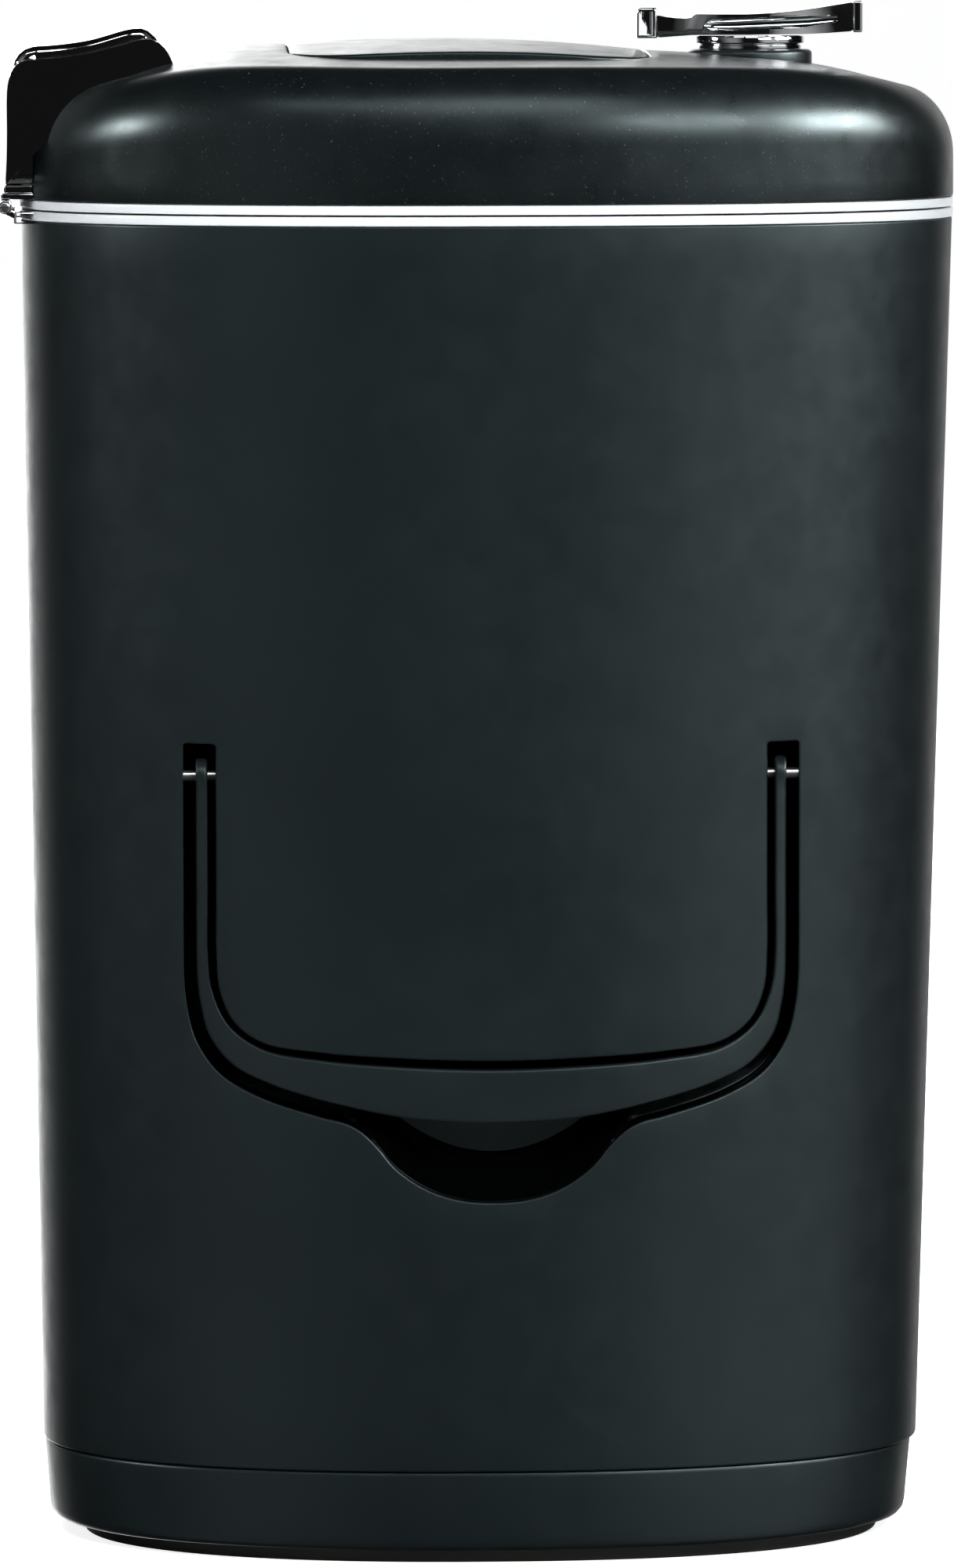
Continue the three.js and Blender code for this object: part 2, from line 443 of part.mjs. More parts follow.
const armB = bar([PIV_X, PIV_ZL], [END_X, PIV_ZU], ARM_B_Y, ARM_B_Y + ARM_T,
  [[PIV_X, PIV_ZL, 3.1], [MID_X, MID_Z, 3.1], [END_X, PIV_ZU, 3.3]]);
function slot(z, y0, y1) {
  return alongY(roundRect(SLOT_X0, END_X + 3.6, z - 3.4, z + 3.4, 3.3, 4), y0, y1);
}
const railU = cut(solid(block(PIV_X - 8, END_X + 9, RAIL_Y0, RAIL_Y1, 558, 571.3)), solid(slot(PIV_ZU, 90, 110)),
  solid(bore('y', 3.3, [PIV_X, PIV_ZU], 90, 110, 16)));
const railL = cut(solid(block(PIV_X - 8, END_X + 9, RAIL_Y0, RAIL_Y1, PLATE.z1 + GAP, 555)), solid(slot(PIV_ZL, 90, 110)),
  solid(bore('y', 3.3, [PIV_X, PIV_ZL], 90, 110, 16)));
const pin = (x, z, y0, y1) => solid(rod('y', PIN_R, [x, z], y0, y1, 16));
// torsion spring round the fixed pivot
function coil(x, z, y0, y1, r, wire, turns) {
  const pts = [];
  const n = Math.round(turns * 8);
  for (let i = 0; i <= n; i++) {
    const t = (i / n) * turns * Math.PI * 2;
    pts.push(new THREE.Vector3(x + r * Math.cos(t), lerp(y0, y1, i / n), z + r * Math.sin(t)));
  }
  const s = new THREE.Shape();
  for (let i = 0; i < 6; i++) {
    const t = (i / 6) * Math.PI * 2;
    if (i) s.lineTo(wire * Math.cos(t), wire * Math.sin(t)); else s.moveTo(wire, 0);
  }
  s.closePath();
  return new THREE.ExtrudeGeometry(s, { steps: n, bevelEnabled: false, extrudePath: new THREE.CatmullRomCurve3(pts) });
}
const sides = [['near', mirrorY], ['far', (m) => m]];
for (const [side, f] of sides) {
  add(`frame_rail_${side}`, f(railU), ...STEEL);
  add(`plate_rail_${side}`, f(railL), ...STEEL);
  add(`scissor_arm_a_${side}`, f(armA), ...STEEL);
  add(`scissor_arm_b_${side}`, f(armB), ...STEEL);
  add(`frame_pivot_pin_${side}`, f(pin(PIV_X, PIV_ZU, 98.6, 107.1)), ...STEEL);
  add(`plate_pivot_pin_${side}`, f(pin(PIV_X, PIV_ZL, 98.6, 111.2)), ...STEEL);
  add(`scissor_pin_${side}`, f(pin(MID_X, MID_Z, 103.4, 111.4)), ...STEEL);
  add(`slide_pin_a_${side}`, f(pin(END_X, PIV_ZL, 98.6, 107.1)), ...STEEL);
  add(`slide_pin_b_${side}`, f(pin(END_X, PIV_ZU, 98.6, 111.2)), ...STEEL);
  add(`return_spring_${side}`, f(solid(coil(PIV_X, PIV_ZU, 112.6, 119, 5.2, 0.9, 2.5))), ...STEEL);
}

export default group;
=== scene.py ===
import math
import bpy
import bmesh
import numpy as np
from mathutils import Matrix, Vector
from mathutils.geometry import delaunay_2d_cdt

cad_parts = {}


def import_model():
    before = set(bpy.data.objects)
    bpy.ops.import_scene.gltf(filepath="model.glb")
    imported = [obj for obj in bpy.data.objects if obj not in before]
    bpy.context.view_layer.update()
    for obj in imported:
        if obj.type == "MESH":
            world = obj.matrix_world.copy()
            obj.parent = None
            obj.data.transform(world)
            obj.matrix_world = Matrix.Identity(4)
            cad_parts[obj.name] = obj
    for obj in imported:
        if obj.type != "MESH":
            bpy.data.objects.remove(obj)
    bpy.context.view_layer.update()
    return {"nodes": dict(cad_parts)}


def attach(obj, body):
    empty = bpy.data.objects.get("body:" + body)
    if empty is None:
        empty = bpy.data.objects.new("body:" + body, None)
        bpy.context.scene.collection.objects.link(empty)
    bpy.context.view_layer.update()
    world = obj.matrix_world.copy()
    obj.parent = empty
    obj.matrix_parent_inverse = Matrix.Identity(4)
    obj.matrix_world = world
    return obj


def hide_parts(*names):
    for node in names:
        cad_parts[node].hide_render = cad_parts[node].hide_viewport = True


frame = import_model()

SX = 4.55                       # the bin's rim centre lies this far in +X of the origin, mm
N = 2.3                         # exponent of the oval plan


# ------------------------------------------------------------------ helpers
def lerp(a, b, t):
    return a + (b - a) * t


def sstep(a, b, x):
    t = min(1.0, max(0.0, (x - a) / (b - a)))
    return t * t * (3 - 2 * t)


class Build:
    """Collects points in the bin's own millimetres and faces with a material index."""

    def __init__(self):
        self.v, self.f, self.m = [], [], []

    def add(self, pts):
        i = len(self.v)
        self.v.extend(pts)
        return list(range(i, i + len(pts)))

    def strip(self, a, b, closed=True, mat=0):
        n = len(a)
        for j in range(n if closed else n - 1):
            k = (j + 1) % n
            self.f.append((a[j], a[k], b[k], b[j]))
            self.m.append(mat)

    def rings(self, rings, closed=True, loop=False, mat=0):
        ids = [self.add(r) for r in rings]
        for i in range(len(ids) - 1):
            self.strip(ids[i], ids[i + 1], closed, mat)
        if loop:
            self.strip(ids[-1], ids[0], closed, mat)
        return ids

    def cap(self, ids, mat=0):
        self.f.append(tuple(ids))
        self.m.append(mat)

    def fan(self, ids, p, mat=0):
        c = self.add([p])[0]
        n = len(ids)
        for j in range(n):
            self.f.append((ids[j], ids[(j + 1) % n], c))
            self.m.append(mat)

    def obj(self, name, mats, angle=38, merge=0.004, flat=False, bevel=None):
        me = bpy.data.meshes.new(name)
        me.from_pydata([((x + SX) / 1000, y / 1000, z / 1000) for x, y, z in self.v], [], self.f)
        for m in mats:
            me.materials.append(m)
        me.polygons.foreach_set("material_index", self.m)
        bm = bmesh.new()
        bm.from_mesh(me)
        bmesh.ops.remove_doubles(bm, verts=bm.verts, dist=merge / 1000)
        bmesh.ops.dissolve_degenerate(bm, dist=merge / 2000, edges=bm.edges)
        bmesh.ops.recalc_face_normals(bm, faces=bm.faces)
        bm.to_mesh(me)
        bm.free()
        ob = bpy.data.objects.new(name, me)
        bpy.context.collection.objects.link(ob)
        finish_shade(ob, angle)
        return ob


def finish_shade(ob, angle=38):
    me = ob.data
    me.polygons.foreach_set("use_smooth", [True] * len(me.polygons))
    me.set_sharp_from_angle(angle=math.radians(angle))
    me.update()


def apply_mods(ob):
    dg = bpy.context.evaluated_depsgraph_get()
    me = bpy.data.meshes.new_from_object(ob.evaluated_get(dg))
    ob.modifiers.clear()
    ob.data = me


def boolean(ob, other, op="DIFFERENCE", keep=False):
    m = ob.modifiers.new("b", "BOOLEAN")
    m.object, m.operation, m.solver = other, op, "EXACT"
    apply_mods(ob)
    if not keep:
        bpy.data.objects.remove(other)


def bevel(ob, width, seg=2, angle=40):
    m = ob.modifiers.new("v", "BEVEL")
    m.width, m.segments, m.limit_method = width / 1000, seg, "ANGLE"
    m.angle_limit = math.radians(angle)
    m.use_clamp_overlap = True
    apply_mods(ob)


def spline(pts, step=2.2):
    """Centripetal Catmull-Rom through the points, sampled about every step."""
    p = [np.array(q, float) for q in pts]
    p = [2 * p[0] - p[1]] + p + [2 * p[-1] - p[-2]]
    out = []
    for i in range(1, len(p) - 2):
        p0, p1, p2, p3 = p[i - 1:i + 3]
        t0 = 0.0
        t1 = t0 + max(1e-6, np.linalg.norm(p1 - p0) ** 0.5)
        t2 = t1 + max(1e-6, np.linalg.norm(p2 - p1) ** 0.5)
        t3 = t2 + max(1e-6, np.linalg.norm(p3 - p2) ** 0.5)
        k = max(1, int(np.linalg.norm(p2 - p1) / step))
        for j in range(k):
            t = t1 + (t2 - t1) * j / k
            a1 = (t1 - t) / (t1 - t0) * p0 + (t - t0) / (t1 - t0) * p1
            a2 = (t2 - t) / (t2 - t1) * p1 + (t - t1) / (t2 - t1) * p2
            a3 = (t3 - t) / (t3 - t2) * p2 + (t - t2) / (t3 - t2) * p3
            b1 = (t2 - t) / (t2 - t0) * a1 + (t - t0) / (t2 - t0) * a2
            b2 = (t3 - t) / (t3 - t1) * a2 + (t - t1) / (t3 - t1) * a3
            out.append((t2 - t) / (t2 - t1) * b1 + (t - t1) / (t2 - t1) * b2)
    out.append(p[-2])
    return [tuple(float(c) for c in q) for q in out]


def area2(poly):
    a = np.array(poly)
    b = np.roll(a, -1, axis=0)
    return float(np.sum(a[:, 0] * b[:, 1] - b[:, 0] * a[:, 1]))


def ccw(poly):
    return poly if area2(poly) > 0 else poly[::-1]


def normals2(poly):
    """Outward unit normals at the points of a counter-clockwise polygon."""
    a = np.array(poly)
    e = np.roll(a, -1, axis=0) - a
    n = np.stack([e[:, 1], -e[:, 0]], 1)
    n /= np.maximum(np.linalg.norm(n, axis=1, keepdims=True), 1e-9)
    m = n + np.roll(n, 1, axis=0)
    m /= np.maximum(np.linalg.norm(m, axis=1, keepdims=True), 1e-9)
    c = np.clip(np.sum(m * n, axis=1, keepdims=True), 0.5, 1)
    return m / c


def offset2(poly, d):
    n = normals2(poly)
    return [(p[0] + n[i][0] * d, p[1] + n[i][1] * d) for i, p in enumerate(poly)]


def inside(poly, x, y):
    a = np.array(poly)
    b = np.roll(a, -1, axis=0)
    c = (a[:, 1] > y) != (b[:, 1] > y)
    xs = a[:, 0] + (y - a[:, 1]) * (b[:, 0] - a[:, 0]) / np.where(b[:, 1] == a[:, 1], 1e-12, b[:, 1] - a[:, 1])
    return bool(np.count_nonzero(c & (x < xs)) % 2)


def dist_line(line, x, y):
    a = np.array(line[:-1])
    b = np.array(line[1:])
    p = np.array([x, y])
    ab = b - a
    t = np.clip(np.sum((p - a) * ab, 1) / np.maximum(np.sum(ab * ab, 1), 1e-9), 0, 1)
    q = a + ab * t[:, None]
    d = np.linalg.norm(q - p, axis=1)
    i = int(np.argmin(d))
    return float(d[i]), float(q[i][0]), float(q[i][1])


def fill(outer, holes, pts, lines=(), clear=1.6, rim=True):
    """Triangles of a flat region: outline, holes, free inner points and inner lines."""
    verts, edges = [], []

    def put(loop, closed=True):
        i = len(verts)
        verts.extend(Vector(p) for p in loop)
        n = len(loop)
        for j in range(n if closed else n - 1):
            edges.append((i + j, i + (j + 1) % n))
    put(outer)
    for h in holes:
        put(h)
    for ln in lines:
        put(ln, False)
    rims = ([list(outer) + [outer[0]]] if rim else []) + [list(h) + [h[0]] for h in holes] + [list(ln) for ln in lines]
    for x, y in pts:
        if not inside(outer, x, y) or any(inside(h, x, y) for h in holes):
            continue
        if not rims or min(dist_line(r, x, y)[0] for r in rims) > clear:
            verts.append(Vector((x, y)))
    v, _, f, _, _, _ = delaunay_2d_cdt(verts, edges, [], 0, 1e-5)
    out = []
    for t in f:
        cx = sum(v[i][0] for i in t) / 3
        cy = sum(v[i][1] for i in t) / 3
        if inside(outer, cx, cy) and not any(inside(h, cx, cy) for h in holes):
            out.append(tuple(t))
    return [tuple(p) for p in v], out


def grid_pts(x0, x1, y0, y1, dx, dy):
    nx, ny = max(2, int((x1 - x0) / dx)), max(2, int((y1 - y0) / dy))
    return [(lerp(x0, x1, (i + 0.5 * (j % 2)) / nx), lerp(y0, y1, j / ny)) for i in range(nx + 1) for j in range(ny + 1)]


def arc(cx, cy, r, a0, a1, k):
    return [(cx + r * math.cos(math.radians(lerp(a0, a1, i / k))), cy + r * math.sin(math.radians(lerp(a0, a1, i / k)))) for i in range(k + 1)]


def clean_loop(p, d=0.05):
    out = []
    for q in p:
        if not out or math.hypot(q[0] - out[-1][0], q[1] - out[-1][1]) > d:
            out.append(q)
    if math.hypot(out[0][0] - out[-1][0], out[0][1] - out[-1][1]) <= d:
        out.pop()
    return out


def place(ob, body, slot, *nodes):
    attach(ob, body)
    if nodes:
        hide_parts(*nodes)
    return ob


# ------------------------------------------------------------------ materials
def shader(name, base, rough, metal=0.0, spec=0.5, coat=0.0, coat_rough=0.1):
    m = bpy.data.materials.new(name)
    m.use_nodes = True
    nt = m.node_tree
    b = nt.nodes["Principled BSDF"]
    b.inputs["Base Color"].default_value = (*base, 1)
    b.inputs["Roughness"].default_value = rough
    b.inputs["Metallic"].default_value = metal
    b.inputs["Specular IOR Level"].default_value = spec
    b.inputs["Coat Weight"].default_value = coat
    # Painted light: every non-metal gets a cyan tint on its reflections, standing in for the colour cast of the studio
    # lights.
    if not metal:
        b.inputs["Specular Tint"].default_value = (0.80, 0.98, 1.0, 1)
    b.inputs["Coat Roughness"].default_value = coat_rough
    tc = nt.nodes.new("ShaderNodeTexCoord")
    return m, nt, b, tc.outputs["Object"]


def noise(nt, co, scale, detail=2.0, rough=0.5, stretch=None):
    if stretch:
        mp = nt.nodes.new("ShaderNodeMapping")
        mp.inputs["Scale"].default_value = stretch
        nt.links.new(co, mp.inputs["Vector"])
        co = mp.outputs["Vector"]
    n = nt.nodes.new("ShaderNodeTexNoise")
    n.inputs["Scale"].default_value = scale
    n.inputs["Detail"].default_value = detail
    n.inputs["Roughness"].default_value = rough
    nt.links.new(co, n.inputs["Vector"])
    return n.outputs["Fac"]


def ramp(nt, fac, lo, hi, a, b):
    r = nt.nodes.new("ShaderNodeMapRange")
    r.inputs["From Min"].default_value = lo
    r.inputs["From Max"].default_value = hi
    r.inputs["To Min"].default_value = a
    r.inputs["To Max"].default_value = b
    nt.links.new(fac, r.inputs["Value"])
    return r.outputs["Result"]


def mix_col(nt, fac, a, b):
    m = nt.nodes.new("ShaderNodeMix")
    m.data_type = "RGBA"
    nt.links.new(fac, m.inputs["Factor"])
    m.inputs["A"].default_value = (*a, 1)
    m.inputs["B"].default_value = (*b, 1)
    return m.outputs["Result"]


def bump(nt, b, height, strength, distance, prev=None):
    k = nt.nodes.new("ShaderNodeBump")
    k.inputs["Strength"].default_value = strength
    k.inputs["Distance"].default_value = distance
    nt.links.new(height, k.inputs["Height"])
    if prev is not None:
        nt.links.new(prev, k.inputs["Normal"])
    nt.links.new(k.outputs["Normal"], b.inputs["Normal"])
    return k.outputs["Normal"]


def plastic(name, base, rough, grain=1400, depth=0.00004, strength=0.35, spec=0.5, var=0.12, fleck=0.0):
    m, nt, b, co = shader(name, base, rough, spec=spec)
    big = noise(nt, co, 9, 3)
    lo = tuple(c * (1 - var) for c in base)
    hi = tuple(c * (1 + var) for c in base)
    col = mix_col(nt, ramp(nt, big, 0.3, 0.7, 0, 1), lo, hi)
    if fleck:
        f = noise(nt, co, 1100, 1.0, 0.5)
        k = nt.nodes.new("ShaderNodeMix")
        k.data_type = "RGBA"
        nt.links.new(ramp(nt, f, 0.70, 0.78, 0, fleck), k.inputs["Factor"])
        nt.links.new(col, k.inputs["A"])
        k.inputs["B"].default_value = (0.25, 0.28, 0.28, 1)
        col = k.outputs["Result"]
    nt.links.new(col, b.inputs["Base Color"])
    scr = noise(nt, co, 60, 5, 0.65)
    nt.links.new(ramp(nt, scr, 0.3, 0.7, rough - 0.04, rough + 0.05), b.inputs["Roughness"])
    g = noise(nt, co, grain, 2.5, 0.6)
    bump(nt, b, g, strength, depth)
    return m


def metal(name, base, rough, brush=None, smudge=0.03):
    m, nt, b, co = shader(name, base, rough, metal=1.0)
    s = noise(nt, co, 45, 4, 0.6)
    nt.links.new(ramp(nt, s, 0.3, 0.75, rough, rough + smudge), b.inputs["Roughness"])
    big = noise(nt, co, 20, 2)
    nt.links.new(mix_col(nt, big, tuple(c * 0.94 for c in base), base), b.inputs["Base Color"])
    if brush:
        g = noise(nt, co, 400, 2, 0.6, brush)
        bump(nt, b, g, 0.25, 0.00002)
    else:
        g = noise(nt, co, 130, 1.5, 0.5)
        bump(nt, b, g, 0.12, 0.00003)
    return m


M_BODY = plastic("body_plastic", (0.0075, 0.0112, 0.0128), 0.36, 1500, 0.00003, 0.25, spec=0.42)
M_LID = plastic("lid_plastic", (0.0042, 0.0060, 0.0068), 0.30, 950, 0.00005, 0.38, spec=0.5, fleck=0.28)
M_HANDLE = plastic("handle_plastic", (0.0085, 0.0120, 0.0136), 0.36, 1500, 0.00003, 0.2, spec=0.42)
# Black lining of the handle pockets, partly painted shade: near-black colour and a very weak reflection keep the recess
# dark under any light.
M_POCKET_BLACK_AND_SHADE = plastic("gloss_black", (0.0006, 0.0007, 0.0008), 0.22, 300, 0.00001, 0.15, spec=0.07)
# Painted light: a lighter copy of the body plastic for the lens patch in the pocket floor, lifting the shadow the carry
# handle casts there.
M_LENS_PAINTED_LIGHT = plastic("lens_painted_light", (0.013, 0.019, 0.021), 0.36, 1500, 0.00003, 0.25, spec=0.5)
M_TURRET = plastic("turret_plastic", (0.012, 0.014, 0.015), 0.33, 1200, 0.00003, 0.3)
M_WHITE = plastic("white_plastic", (0.86, 0.87, 0.90), 0.3, 900, 0.00001, 0.15, var=0.015)
M_NYLON = plastic("grey_nylon", (0.055, 0.060, 0.063), 0.5, 1300, 0.00004, 0.35)
M_RUBBER = plastic("rubber", (0.028, 0.021, 0.018), 0.72, 900, 0.00006, 0.5, var=0.2)
M_CHROME = metal("chrome", (0.80, 0.82, 0.84), 0.045, smudge=0.03)
# Painted highlight: a brighter, rougher copy of the chrome for the hinge arm's edge fillets.
M_EDGE_HIGHLIGHT = metal("edge_highlight_chrome", (0.88, 0.89, 0.90), 0.34, smudge=0.04)
M_PIN = metal("bright_pin", (0.85, 0.86, 0.87), 0.3, smudge=0.05)
M_STEEL = metal("steel", (0.62, 0.63, 0.64), 0.26, brush=(0.15, 1.0, 1.0), smudge=0.1)


# ------------------------------------------------------------------ bin wall
TOPS = dict(cx=0.0, a=200.5, b=146.0)
BOTS = dict(cx=-4.1, a=189.2, b=136.0)
Z0, Z1, ZT = 40.0, 566.4, 570.6


def at(z):
    t = (z - Z0) / (ZT - Z0)
    return lerp(BOTS["cx"], TOPS["cx"], t), lerp(BOTS["a"], TOPS["a"], t), lerp(BOTS["b"], TOPS["b"], t)


def wall_y(x, z, off):
    cx, a, b = at(z)
    q = abs(x - cx) / (a - off)
    return (b - off) * max(0.0, 1 - q ** N) ** (1 / N)


MIDX = at(240)[0]
P_OUT = [(130.2, 346.6), (130.2, 320), (130.2, 285), (130.2, 262), (129.9, 246), (128.5, 234.6), (125.0, 221.9), (115.3, 208.4),
         (98.7, 198.9), (73, 190.9), (62, 188.2), (55.5, 184.6), (49.2, 178.6), (41.8, 169.8), (29.2, 161.0), (15.5, 156.2), (0, 154.8)]
P_IN = [(0, 215), (46, 216.4), (73, 218.2), (97.5, 222.0), (109.5, 230.6), (115.3, 243.5), (116.6, 258), (116.6, 285), (116.6, 320), (116.6, 346.6)]


def u_loop(outer, inner, r, step=2.2):
    """Closed U outline from the right-hand halves of its outer and inner edges."""
    o = spline(outer + [(-x, z) for x, z in outer[:-1][::-1]], step)
    i = spline([(-x, z) for x, z in inner[1:][::-1]] + inner, step)
    xo, zo = outer[0]
    xi = inner[-1][0]
    c1 = arc(-xo + r, zo, r, 180, 90, 4) + arc(-xi - r, zo, r, 90, 0, 4)
    c2 = arc(xi + r, zo, r, 180, 90, 4) + arc(xo - r, zo, r, 90, 0, 4)
    loop_ = clean_loop(o + c1 + i + c2)
    return ccw([(x + MIDX, z) for x, z in loop_])


POCKET = u_loop(P_OUT, P_IN, 1.4)
LIP = [(x + MIDX, z) for x, z in spline([(-x, z) for x, z in P_OUT[8:]] + [(x, z) for x, z in P_OUT[8:-1][::-1]], 2)]
LENS = [(x + MIDX, 174.0 + 15.5 * (abs(x) / 40.5) ** 2.05) for x in np.linspace(-40.5, 40.5, 41)]


def depth(x, z):
    d, qx, _ = dist_line(LIP, x, z)
    qx = abs(qx - MIDX)
    lip = lerp(2.2, 17.0, sstep(50, 62, qx))
    deep = 17.0 + 10.0 * sstep(60, 46, abs(x - MIDX)) * sstep(212, 200, z)
    w = lerp(19.2, 13.5, sstep(0, 40, abs(x - MIDX)))
    if qx > 62:
        return deep
    return lip + (deep - lip) * math.sin(min(1.0, d / w) * math.pi / 2) ** 0.9


def inset(z):
    e = 0.0
    if z < Z0 + 1.2:
        e = 0.9 * (1 - math.sqrt(max(0.0, 1 - ((Z0 + 1.2 - z) / 1.2) ** 2)))
    if z > Z1 - 0.8:
        e = 0.5 * (1 - math.sqrt(max(0.0, 1 - ((z - Z1 + 0.8) / 0.8) ** 2)))
    return e


ZROWS = [Z0, Z0 + 0.35, Z0 + 0.8, Z0 + 1.2] + [float(z) for z in np.linspace(55, 550, 40)] + [Z1 - 0.8, Z1 - 0.45, Z1 - 0.2, Z1]
SEND = 0.80
SCOLS = [float(s) for s in np.linspace(-SEND, SEND, 55)]
TE = math.acos(SEND ** (N / 2))
ENDS = []
for i in range(1, 28):
    t = lerp(-TE, TE, i / 28)
    ENDS.append((abs(math.cos(t)) ** (2 / N), math.copysign(abs(math.sin(t)) ** (2 / N), math.sin(t))))


def wall_pt(s, z, off, sign):
    cx, a, b = at(z)
    off = off + (inset(z) if off < 1 else 0)
    return cx + s * (a - off), sign * (b - off) * max(0.0, 1 - abs(s) ** N) ** (1 / N), z


def perimeter(z, off):
    p = [wall_pt(s, z, off, -1) for s in SCOLS]
    cx, a, b = at(z)
    o = off + (inset(z) if off < 1 else 0)
    p += [(cx + (a - o) * c, (b - o) * s, z) for c, s in ENDS]
    p += [wall_pt(s, z, off, 1) for s in SCOLS[::-1]]
    p += [(cx - (a - o) * c, -(b - o) * s, z) for c, s in ENDS]
    return p


def wall_side(B, off, sign, grow, mat):
    """One long side of the bin wall with its pocket, as seen from outside (off 0) or inside (off 3)."""
    r = 1.0
    base = POCKET
    if off < 1:
        prof = [(r * (1 - math.sin(f)), r * (1 - math.cos(f))) for f in np.linspace(0, math.pi / 2, 5)]
    else:
        prof = [(grow, off)]
    hole = offset2(base, prof[0][0])

    def dom(x, z):
        cx, a, _ = at(z)
        return (x - cx) / (a - off) * 200, z
    hole_d = [dom(x, z) for x, z in hole]
    x0, x1 = SCOLS[0] * 200, SCOLS[-1] * 200
    outer = [(s * 200, ZROWS[0]) for s in SCOLS] + [(x1, z) for z in ZROWS[1:]] + [(s * 200, ZROWS[-1]) for s in SCOLS[::-1][1:]] + [(x0, z) for z in ZROWS[::-1][1:-1]]
    pts = [(s * 200, z) for s in SCOLS[1:-1] for z in ZROWS[1:-1]]
    v, f = fill(outer, [hole_d], pts, clear=2.2, rim=False)
    ids = B.add([wall_pt(x / 200, z, off, sign) for x, z in v])
    for t in f:
        B.f.append(tuple(ids[i] for i in t))
        B.m.append(mat)
    # fillet, wall and floor of the pocket
    dep = [depth(x, z) for x, z in base]
    nrm = normals2(base)
    extra = 0 if off < 1 else grow

    def ring(dfun, hfun):
        out = []
        for i, (x, z) in enumerate(base):
            d = dfun(i)
            X, Z = x + nrm[i][0] * d, z + nrm[i][1] * d
            out.append((X, sign * wall_y(X, Z, hfun(i)), Z))
        return out
    rings = [ring(lambda i, d=d: d, lambda i, h=h: h) for d, h in prof]
    rings[0] = [wall_pt(x / 200, z, off, sign) for x, z in hole_d]
    foot = 1.4 if off < 1 else 0.0
    rr = [min(foot, max(0.0, (dep[i] - r) * 0.6)) for i in range(len(base))]
    g = grow if off >= 1 else 0
    if off < 1:
        steps = [0.0, 0.5, 1.0]
        lows = [ring(lambda i, k=k: -rr[i] * (1 - math.cos(k * math.pi / 2)), lambda i, k=k: dep[i] - rr[i] * (1 - math.sin(k * math.pi / 2))) for k in steps]
    else:
        lows = [ring(lambda i: g, lambda i: dep[i] + extra)]
    # The pocket wall and floor take the black lining (material 1), which also carries painted shade of the recess.
    a = B.rings(rings, mat=mat)
    b = B.rings(lows, mat=1 if off < 1 else mat)
    B.strip(a[-1], b[0], True, 1 if off < 1 else mat)
    edge2 = [(p[0], p[2]) for p in lows[-1]]
    xs = [p[0] for p in edge2]
    zs = [p[1] for p in edge2]
    lines = [LENS] if off < 1 else []
    v, f = fill(edge2, [], grid_pts(min(xs), max(xs), min(zs), max(zs), 4.0, 4.0), lines, clear=1.2)
    n_edge = len(edge2)
    pts = []
    for i, (x, z) in enumerate(v):
        if i < n_edge:
            pts.append(lows[-1][i])
        else:
            pts.append((x, sign * wall_y(x, z, depth(x, z) + extra), z))
    ids = B.add(pts)
    for t in f:
        cx = sum(v[i][0] for i in t) / 3 - MIDX
        cz = sum(v[i][1] for i in t) / 3
        # Painted light: the lens patch takes the lighter copy of the body plastic; the rest of the pocket floor takes
        # the black lining, which carries painted shade.
        lens = off < 1 and abs(cx) < 40.5 and cz > 174.0 + 15.5 * (abs(cx) / 40.5) ** 2.05 and cz < 204
        B.f.append(tuple(ids[i] for i in t))
        B.m.append(3 if lens else (1 if off < 1 else mat))


def bin_wall():
    B = Build()
    for sign in (-1, 1):
        wall_side(B, 0.0, sign, 0.0, 0)
        wall_side(B, 3.0, sign, 3.0, 2)
    for off, mat in ((0.0, 0), (3.0, 2)):
        for side in (1, -1):
            cols = [(SEND, None)] + [(None, e) for e in ENDS] + [(SEND, None)]
            rows = []
            for z in ZROWS:
                cx, a, b = at(z)
                o = off + (inset(z) if off < 1 else 0)
                ye = (b - o) * (1 - SEND ** N) ** (1 / N)
                rows.append([(cx + side * (a - o) * SEND, -ye, z)] + [(cx + side * (a - o) * c, (b - o) * s, z) for c, s in ENDS]
                            + [(cx + side * (a - o) * SEND, ye, z)])
            B.rings(rows, closed=False, mat=mat)
    for z in (Z0, Z1):
        B.strip(B.add(perimeter(z, 0.0)), B.add(perimeter(z, 3.0)), True, 0)
    ob = B.obj("bin_wall", [M_BODY, M_POCKET_BLACK_AND_SHADE, M_BODY, M_LENS_PAINTED_LIGHT], angle=42, merge=0.02)
    return place(ob, "bin", "body_plastic", "body_shell")


bin_wall()


# ------------------------------------------------------------------ ovals and swept rings
SEG = 224


def oval(cx, a, b, z, seg=SEG):
    out = []
    for i in range(seg):
        t = i / seg * 2 * math.pi
        c, s = math.cos(t), math.sin(t)
        out.append((cx + a * math.copysign(abs(c) ** (2 / N), c), b * math.copysign(abs(s) ** (2 / N), s), z))
    return out


def round_section(pts, r, k=3):
    """Rounds the corners of a closed section given as (offset, z) points."""
    out = []
    n = len(pts)
    for i in range(n):
        p0, p1, p2 = (np.array(pts[(i + j) % n], float) for j in (-1, 0, 1))
        a, b = p0 - p1, p2 - p1
        la, lb = np.linalg.norm(a), np.linalg.norm(b)
        rr = min(r, la * 0.45, lb * 0.45)
        a, b = a / la, b / lb
        for j in range(k + 1):
            t = j / k
            q = (1 - t) ** 2 * (p1 + a * rr) + 2 * t * (1 - t) * p1 + t * t * (p1 + b * rr)
            out.append((float(q[0]), float(q[1])))
    return out


def rim(name, section, mat, body, slot, node, r=0.5, base=None, angle=38):
    B = Build()
    if base is None:
        base = lambda off, z: oval(0.0, 200.9 - off, 146.4 - off, z)
    B.rings([base(o, z) for o, z in round_section(section, r)], loop=True)
    return place(B.obj(name, [mat], angle=angle), body, slot, node)


